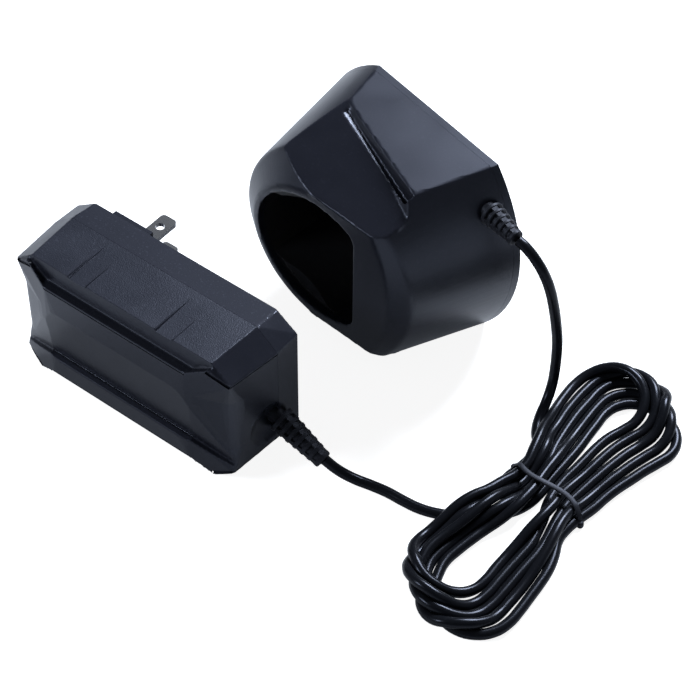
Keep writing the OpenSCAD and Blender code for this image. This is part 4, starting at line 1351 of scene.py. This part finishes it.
@dataclass
class Cord:
    """The lead from the adapter to the cradle, its middle folded into a tied hank. Sizes in mm."""

    diameter: float = 3.6
    length: float = 1540.0
    waist: tuple[float, float] = (106.2, 1.2)
    turn: float = -11.2
    waist_half: float = 13.6
    waist_reach: float = 12.0
    waist_flare: float = 0.018
    node_gap: float = 3.0
    rounds: int = 1200
    late_share: float = 0.8
    held_start: int = 6
    held_end: int = 20
    least_radius: float = 13.6
    touch_gap: float = 0.02
    watch_gap: float = 2.5
    watch_from: int = 5
    floor_gap: float = 0.1
    sink: tuple[float, float] = (0.02, 0.004)
    homing: tuple[float, float] = (0.05, 0.01)
    bend_spread: Point = (0.1, 0.1, 0.35)
    pair_rounds: int = 10
    adapter_run: Sequence[Point] = (
        (44.8, -36.3, 9.2), (47.5, -35.4, 6.9), (51, -34, 4.4), (55.5, -32.2, 2.6),
        (61, -30.4, 1.9), (67, -29.6, 1.9), (73, -29.3, 1.9), (79, -28.4, 1.9), (85, -26, 1.9),
        (91, -22.3, 1.9), (97, -17, 1.9), (101.5, -10.5, 1.9))
    cradle_run: Sequence[Point] = (
        (90.5, 9, 4.2), (89, 15.5, 2.4), (87.3, 22, 1.9), (86, 27.5, 2.3), (84.9, 32, 4.4),
        (84.1, 35.2, 9.5), (83.6, 36.7, 17.5), (82.8, 37.7, 26.5), (81.8, 37.2, 36),
        (80.5, 36.2, 45.5), (78.7, 35, 54), (75.5, 34.2, 60.5), (71, 34.2, 64.6),
        (66.8, 34.5, 66.0))
    upper_reach: Sequence[float] = (55, 56.5, 61, 59, 56)
    lower_reach: Sequence[float] = (59.5, 63, 61, 56, 61)
    lower_order: Sequence[int] = (0, 1, 2, 4, 3)

    def axes(self) -> tuple[np.ndarray, np.ndarray]:
        """Returns the hank's directions across and along."""
        turn = math.radians(self.turn)
        return (np.array([math.cos(turn), math.sin(turn)]),
                np.array([-math.sin(turn), math.cos(turn)]))

    def placed(self, across: float, along: float, height: float) -> Point:
        """Returns the place of a point given across and along the hank from its tie."""
        u, v = self.axes()
        x, y = np.array(self.waist) + across * u + along * v
        return (float(x), float(y), height)

    def upper_loop(self, k: int) -> list[Point]:
        """Lays the k-th loop over the upper lobe, from left to right."""
        z = 1.9 + 1.7 * k
        r = self.upper_reach[k]
        rows = ((-2 - 2.4 * k, 1, z), (-6 - 3.1 * k, 15, z), (-9.8 - 3.8 * k, 30, z),
                (-12 - 3.9 * k, r - 12, z), (-8.5 - 3.9 * k, r - 3.5, z), (0.4 - 3.9 * k, r, z + 0.6),
                (9 - 4 * k, r - 3.5, z + 0.6), (13.3 - 4.1 * k, r - 12, z), (13.4 - 4.3 * k, 30, z),
                (12.9 - 3.6 * k, 15, z), (13.8 - 3.2 * k, 1, z))
        return [self.placed(*row) for row in rows]

    def lower_loop(self, k: int) -> list[Point]:
        """Lays the k-th loop over the lower lobe, from right to left."""
        j = self.lower_order[k]
        r = self.lower_reach[k]
        z = 2.6 + 1.8 * j
        last = 1 if k == 4 else 0
        rows = ((14.2 - 3 * k, -1, 1.9 + 1.7 * k), (19.2 - 2.7 * j - 0.5 * last, -15, z),
                (25 - 3.7 * j, -30, z), (28.4 - 4 * j, 14 - r, z), (25 - 4 * j, 4.5 - r, z),
                (15.7 - 3.8 * j, -r, z), (5.5 - 3.5 * j, 4 - r, z), (-0.5 - 2.9 * j, 14 - r, z),
                (-3 - 2.4 * j, -30, z + 0.6), (-2 - 2.3 * j - 1.6 * last, -15, z + 0.8),
                (-3.2 - 2.7 * k, -1, 1.9 + 1.7 * k))
        return [self.placed(*row) for row in rows]

    def route(self) -> np.ndarray:
        """Returns the whole lead's drawn line, from the adapter to the cradle."""
        points = list(self.adapter_run)
        for k in range(len(self.upper_reach)):
            points += self.upper_loop(k) + self.lower_loop(k)
        return smooth_route(np.array(points + list(self.cradle_run)), self.node_gap)

    def near_pairs(self, line: np.ndarray) -> tuple[np.ndarray, np.ndarray]:
        """Finds the pairs of nodes that may touch, apart from neighbours on the line."""
        gap = np.linalg.norm(line[:, None] - line[None], axis=2)
        return np.where(np.triu(gap < self.diameter + self.watch_gap, self.watch_from))

    def even_bends(self, line: np.ndarray, hold: np.ndarray) -> None:
        """Spreads each bend along the line, and opens those below the least radius.

        Args:
            line: the nodes, which are moved.
            hold: 1 for each free node and 0 for each held one.
        """
        for _ in range(2):
            bend = np.zeros_like(line)
            bend[2:-2] = (-line[:-4] + 4 * line[1:-3] - 6 * line[2:-2]
                          + 4 * line[3:-1] - line[4:]) / 16
            line += hold * bend * self.bend_spread
        for span in (2, 3):
            middle = (line[:-2 * span] + line[2 * span:]) / 2
            sag = line[span:-span] - middle
            rise = np.linalg.norm(sag, axis=1)
            most = (span * self.node_gap) ** 2 / (2 * self.least_radius)
            pull = np.where(rise > most, (rise - most) / np.maximum(rise, 1e-6), 0)[:, None]
            line[span:-span] -= 0.5 * hold[span:-span] * pull * sag

    def part_turns(self, line: np.ndarray, hold: np.ndarray,
                   pairs: tuple[np.ndarray, np.ndarray]) -> None:
        """Pushes apart the turns that run into each other.

        Args:
            line: the nodes, which are moved.
            hold: 1 for each free node and 0 for each held one.
            pairs: the nodes that may touch.
        """
        first, second = pairs
        least = self.diameter + self.touch_gap
        for _ in range(3):
            apart = line[second] - line[first]
            gap = np.linalg.norm(apart, axis=1)
            close = np.where(gap < least, least - gap, 0)
            shift = apart / np.maximum(gap, 1e-6)[:, None] * (close / 2)[:, None]
            push = np.zeros_like(line)
            np.add.at(push, second, shift)
            np.add.at(push, first, -shift)
            line += hold * push

    def draw_in_waist(self, line: np.ndarray, hold: np.ndarray) -> None:
        """Draws the turns together below the tie."""
        across, along = self.axes()
        offset = line[:, :2] - np.array(self.waist)
        aside, beyond = offset @ across, offset @ along
        room = self.waist_half + self.waist_flare * beyond ** 2
        out = np.where((np.abs(beyond) < self.waist_reach) & (np.abs(aside) > room),
                       aside - np.sign(aside) * room, 0)
        line[:, :2] -= 0.5 * hold * out[:, None] * across

    def space_nodes(self, line: np.ndarray, hold: np.ndarray) -> None:
        """Brings the distance from node to node back to its length."""
        for _ in range(2):
            leg = np.diff(line, axis=0)
            length = np.linalg.norm(leg, axis=1)
            give = (0.5 * (1 - self.node_gap / length))[:, None] * leg
            line[:-1] += hold[:-1] * give * 0.5
            line[1:] -= hold[1:] * give * 0.5

    def settled(self) -> np.ndarray:
        """Lets the lead sink under its weight, with its turns resting beside and on each other.

        Returns:
            The lead's middle line, one node per row.
        """
        line = self.route()
        home = line.copy()
        free = np.ones(len(line))
        free[:self.held_start] = 0
        free[-self.held_end:] = 0
        hold = free[:, None]
        floor = self.diameter / 2 + self.floor_gap
        for step in range(self.rounds):
            late = step > self.late_share * self.rounds
            line[:, 2] -= free * self.sink[late]
            line[:, :2] += hold * self.homing[late] * (home - line)[:, :2]
            self.even_bends(line, hold)
            if step % self.pair_rounds == 0:
                pairs = self.near_pairs(line)
            self.part_turns(line, hold, pairs)
            self.draw_in_waist(line, hold)
            self.space_nodes(line, hold)
            line[:, 2] = np.where(free > 0, np.maximum(line[:, 2], floor), line[:, 2])
        return line

    def build(self) -> np.ndarray:
        """Returns:
            The settled middle line in mm, which the tie is fitted to.
        """
        line = self.settled()
        points = line[::2] if len(line) % 2 else np.vstack([line[:-1:2], line[-1]])
        curve = bpy.data.curves.new("lead", "CURVE")
        curve.dimensions = "3D"
        curve.bevel_depth = self.diameter / 2 * MM
        curve.bevel_resolution = 4
        curve.resolution_u = 4
        curve.use_fill_caps = True
        spline = curve.splines.new("BEZIER")
        spline.bezier_points.add(len(points) - 1)
        for knot, place in zip(spline.bezier_points, points):
            knot.co = Vector(place) * MM
            knot.handle_left_type = "AUTO"
            knot.handle_right_type = "AUTO"
        lead = bpy.data.objects.new("lead", curve)
        bpy.context.scene.collection.objects.link(lead)
        JACKET.dress(lead)
        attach(lead, BODY)
        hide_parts("cord_cradle_run", "cord_adapter_run", "cord_hank")
        log.info("lead: %d knots, highest node %.1f mm", len(points), line[:, 2].max())
        return line


@dataclass
class Tie:
    """The thin tie over the hank's waist, with a small knob at each end. Sizes in mm."""

    width: float = 1.7
    thickness: float = 0.8
    knob: float = 2.6
    slant: float = 1.75
    reach: float = 15.2
    clearance: float = 0.3
    steps: int = 28
    edge: float = 0.25
    knob_waist: float = 0.9
    knob_edge: float = 0.6
    hit_share: float = 0.75
    sharp_angle: float = 40.0

    def over_strands(self, strands: np.ndarray, cord: Cord) -> list[tuple[float, float, float]]:
        """Finds how high the band must pass over the strands, step by step.

        Args:
            strands: the lead's middle line.
            cord: the lead, for its waist and thickness.

        Returns:
            Place across and along the waist, and height, of each step.
        """
        across, along = cord.axes()
        offset = strands[:, :2] - np.array(cord.waist)
        aside, beyond = offset @ across, offset @ along
        line = []
        for i in range(self.steps + 1):
            s = self.reach * (2 * i / self.steps - 1)
            slant = self.slant * math.sin(math.pi * s / self.reach)
            near = np.hypot(aside - s, beyond - slant) < cord.diameter * self.hit_share
            height = 0.0
            if near.any():
                rise = (cord.diameter / 2 + self.clearance) ** 2 - (aside[near] - s) ** 2
                height = (strands[near, 2] + np.sqrt(np.maximum(0, rise))).max()
            line.append((s, slant, height + self.thickness / 2))
        return line

    def band_line(self, strands: np.ndarray, cord: Cord) -> list[Vector]:
        """Stretches the band from knob to knob over the strands that it crosses.

        Args:
            strands: the lead's middle line.
            cord: the lead, for its waist and thickness.

        Returns:
            The band's middle line from one knob to the other.
        """
        steps = self.over_strands(strands, cord)
        ends = [(-self.reach, self.knob / 2), (self.reach, self.knob / 2)]
        taut: list[tuple[float, float]] = []
        for s, z in [ends[0], *((s, z) for s, _, z in steps[1:-1]), ends[1]]:
            while len(taut) > 1 and ((taut[-1][0] - taut[-2][0]) * (z - taut[-2][1])
                                     >= (taut[-1][1] - taut[-2][1]) * (s - taut[-2][0])):
                taut.pop()
            taut.append((s, z))
        across, along = cord.axes()
        places, heights = zip(*taut)
        line = []
        for s, slant, _ in steps:
            x, y = np.array(cord.waist) + s * across + slant * along
            line.append(Vector((x, y, float(np.interp(s, places, heights)))))
        return line

    def build(self, strands: np.ndarray, cord: Cord) -> None:
        """Builds the band and its two knobs.

        Args:
            strands: the lead's middle line.
            cord: the lead.
        """
        line = self.band_line(strands, cord)
        points, faces = [], []
        for i, place in enumerate(line):
            along = (line[min(i + 1, len(line) - 1)] - line[max(i - 1, 0)]).normalized()
            side = along.cross(Vector((0, 0, 1))).normalized() * (self.width / 2)
            up = side.cross(along).normalized() * (self.thickness / 2)
            points += [place - side - up, place + side - up, place + side + up, place - side + up]
            if i:
                base = 4 * (i - 1)
                faces += [(base + k, base + (k + 1) % 4, base + 4 + (k + 1) % 4, base + 4 + k)
                          for k in range(4)]
        faces += [(0, 1, 2, 3), tuple(range(len(points) - 1, len(points) - 5, -1))]
        band = new_object("tie_band", points, faces=faces)
        with editing(band):
            face_outwards()
        soften(band, self.edge, 2, self.sharp_angle)
        half = self.knob / 2
        knob_r = half * self.knob_waist
        knobs = []
        for place in (line[0], line[-1]):
            knobs.append(add_cone("tie_knob", (place.x, place.y, place.z - half), knob_r, knob_r,
                                  2 * half, 16))
            soften(knobs[-1], half * self.knob_edge, 4, self.sharp_angle)
        focus(band)
        for knob in knobs:
            knob.select_set(True)
        bpy.ops.object.join()
        finished(band, "tie", RUBBER, Matrix.Identity(4), "hank_tie")


# ---------- studio ----------

@dataclass(frozen=True)
class Softbox:
    """A soft rectangular lamp that faces a point. Sizes in metres, power in watts."""

    name: str
    place: Point
    aim: Point
    size: tuple[float, float]
    power: float
    colour: Point = (0.84, 0.9, 1.0)

    def build(self) -> None:
        """Hangs the lamp at its place."""
        data = bpy.data.lights.new(self.name, "AREA")
        data.shape = "RECTANGLE"
        data.size, data.size_y = self.size
        data.energy = self.power
        data.color = self.colour
        lamp = bpy.data.objects.new(self.name, data)
        lamp.location = self.place
        facing = Vector(self.aim) - Vector(self.place)
        lamp.rotation_euler = facing.to_track_quat("-Z", "Y").to_euler()
        bpy.context.scene.collection.objects.link(lamp)


SOFTBOXES = (Softbox("softbox_back", (-0.05, 0.72, 0.72), (0.02, 0, 0.03), (0.4, 0.36), 24),
             Softbox("softbox_left", (-0.6, -0.85, 0.6), (0, 0, 0.03), (0.3, 0.3), 7))


@dataclass
class Studio:
    """Camera, pale floor, white surroundings and soft lights. Sizes in metres, angles in degrees."""

    lens: float = 119.1
    sensor: float = 36.0
    camera_place: Point = (0.33945, -0.40513, 0.58156)
    heading: float = 37.647
    pitch: float = 47.79
    roll: float = 0.58
    floor_size: float = 6.0
    floor_t: float = 0.002
    floor_colour: Colour = (0.5, 0.505, 0.51, 1)
    floor_wash: Colour = (0.53, 0.535, 0.54, 1)
    floor_glow: Colour = (0.78, 0.86, 1, 1)
    floor_in_view: float = 0.9
    floor_in_gloss: float = 0.16
    sky: Colour = (0.92, 0.95, 1.0, 1)
    ambient: float = 0.09
    wall_colour: Colour = (0.86, 0.92, 1.0, 1)
    wall_gloss: float = 0.24
    wall_fade: tuple[float, float] = (0.3, 0.65)

    def add_camera(self) -> None:
        """Adds the camera that looks down on the charger from the right."""
        data = bpy.data.cameras.new("camera")
        data.lens = self.lens
        data.sensor_width = self.sensor
        camera = bpy.data.objects.new("camera", data)
        aim, tilt, roll = (math.radians(angle) for angle in (self.heading, self.pitch, self.roll))
        right = Vector((math.cos(aim), math.sin(aim), 0))
        forward = Vector((-math.sin(aim) * math.cos(tilt), math.cos(aim) * math.cos(tilt),
                          -math.sin(tilt)))
        up = right.cross(forward)
        x = right * math.cos(roll) + up * math.sin(roll)
        y = up * math.cos(roll) - right * math.sin(roll)
        camera.matrix_world = Matrix.Translation(self.camera_place) @ Matrix(
            (x, y, -forward)).transposed().to_4x4()
        bpy.context.scene.collection.objects.link(camera)
        bpy.context.scene.camera = camera

    def add_floor(self) -> None:
        """Adds the pale floor: white to the camera but for the shadows, dim in reflections."""
        floor = add_box("floor", (-self.floor_size / 2, -self.floor_size / 2, -self.floor_t),
                        (self.floor_size, self.floor_size, self.floor_t))
        paint = bpy.data.materials.new("floor_white")
        paint.use_nodes = True
        tree = paint.node_tree
        place = add_node(tree, "TexCoord").outputs["Object"]
        wash = add_node(tree, "TexNoise", {"Scale": 1.5, "Vector": place})
        tint = add_node(tree, "Mix", {"A": self.floor_colour, "B": self.floor_wash,
                                      "Factor": wash.outputs["Fac"]}, data_type="RGBA")
        rays = add_node(tree, "LightPath").outputs
        mirrored = math_node(tree, "MAXIMUM", rays["Is Glossy Ray"], rays["Is Transmission Ray"])
        mirrored = math_node(tree, "MULTIPLY", mirrored, self.floor_in_gloss)
        seen = math_node(tree, "MULTIPLY", rays["Is Camera Ray"], self.floor_in_view)
        glow = add_node(tree, "Mix", {"A": self.floor_glow, "B": WHITE,
                                      "Factor": rays["Is Camera Ray"]}, data_type="RGBA")
        join_inputs(tree, tree.nodes["Principled BSDF"], {
            "Roughness": 0.9,
            "Specular IOR Level": 0.1,
            "Base Color": tint.outputs["Result"],
            "Emission Color": glow.outputs["Result"],
            "Emission Strength": math_node(tree, "MAXIMUM", seen, mirrored)})
        floor.data.materials.append(paint)

    def add_world(self) -> None:
        """Adds surroundings: white in view, softly grey as light, paler walls in reflections."""
        world = bpy.data.worlds.new("surroundings")
        bpy.context.scene.world = world
        world.use_nodes = True
        tree = world.node_tree
        tree.nodes.clear()
        place = add_node(tree, "TexCoord").outputs["Generated"]
        height = add_node(tree, "SeparateXYZ", {"Vector": place}).outputs["Z"]
        wall_low, wall_high = self.wall_fade
        wall = add_node(tree, "MapRange", {
            "From Min": wall_low, "From Max": wall_high, "To Min": self.wall_gloss,
            "To Max": self.ambient, "Value": height})
        plain = add_node(tree, "Background", {"Color": self.sky, "Strength": self.ambient})
        walls = add_node(tree, "Background", {
            "Color": self.wall_colour, "Strength": wall.outputs["Result"]})
        white = add_node(tree, "Background", {"Color": WHITE, "Strength": 1.0})
        rays = add_node(tree, "LightPath").outputs
        gloss = add_node(tree, "MixShader", {
            "Fac": rays["Is Glossy Ray"], 1: plain.outputs[0], 2: walls.outputs[0]})
        shown = add_node(tree, "MixShader", {
            "Fac": rays["Is Camera Ray"], 1: gloss.outputs[0], 2: white.outputs[0]})
        add_node(tree, "OutputWorld", {"Surface": shown.outputs[0]})

    def build(self) -> None:
        """Sets up the whole studio."""
        bpy.context.scene.view_settings.view_transform = "Standard"
        self.add_camera()
        self.add_floor()
        self.add_world()
        for softbox in SOFTBOXES:
            softbox.build()


def dress_carried_nodes() -> None:
    """Gives every carried-over solid its finish."""
    for node, finish in NODE_FINISHES.items():
        finish.dress_node(node)
    log.info("finishes: %d solids dressed", len(NODE_FINISHES))


def main() -> None:
    """Builds the studio and every piece of the charger, in order."""
    logging.basicConfig(level=logging.INFO, format="%(name)s: %(message)s")
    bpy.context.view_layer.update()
    Studio().build()
    cord = Cord()
    strands = cord.build()
    Tie().build(strands, cord)
    Cradle().build()
    Adapter().build()
    dress_carried_nodes()
    log.info("sizes written")


if __name__ == "__main__":
    main()
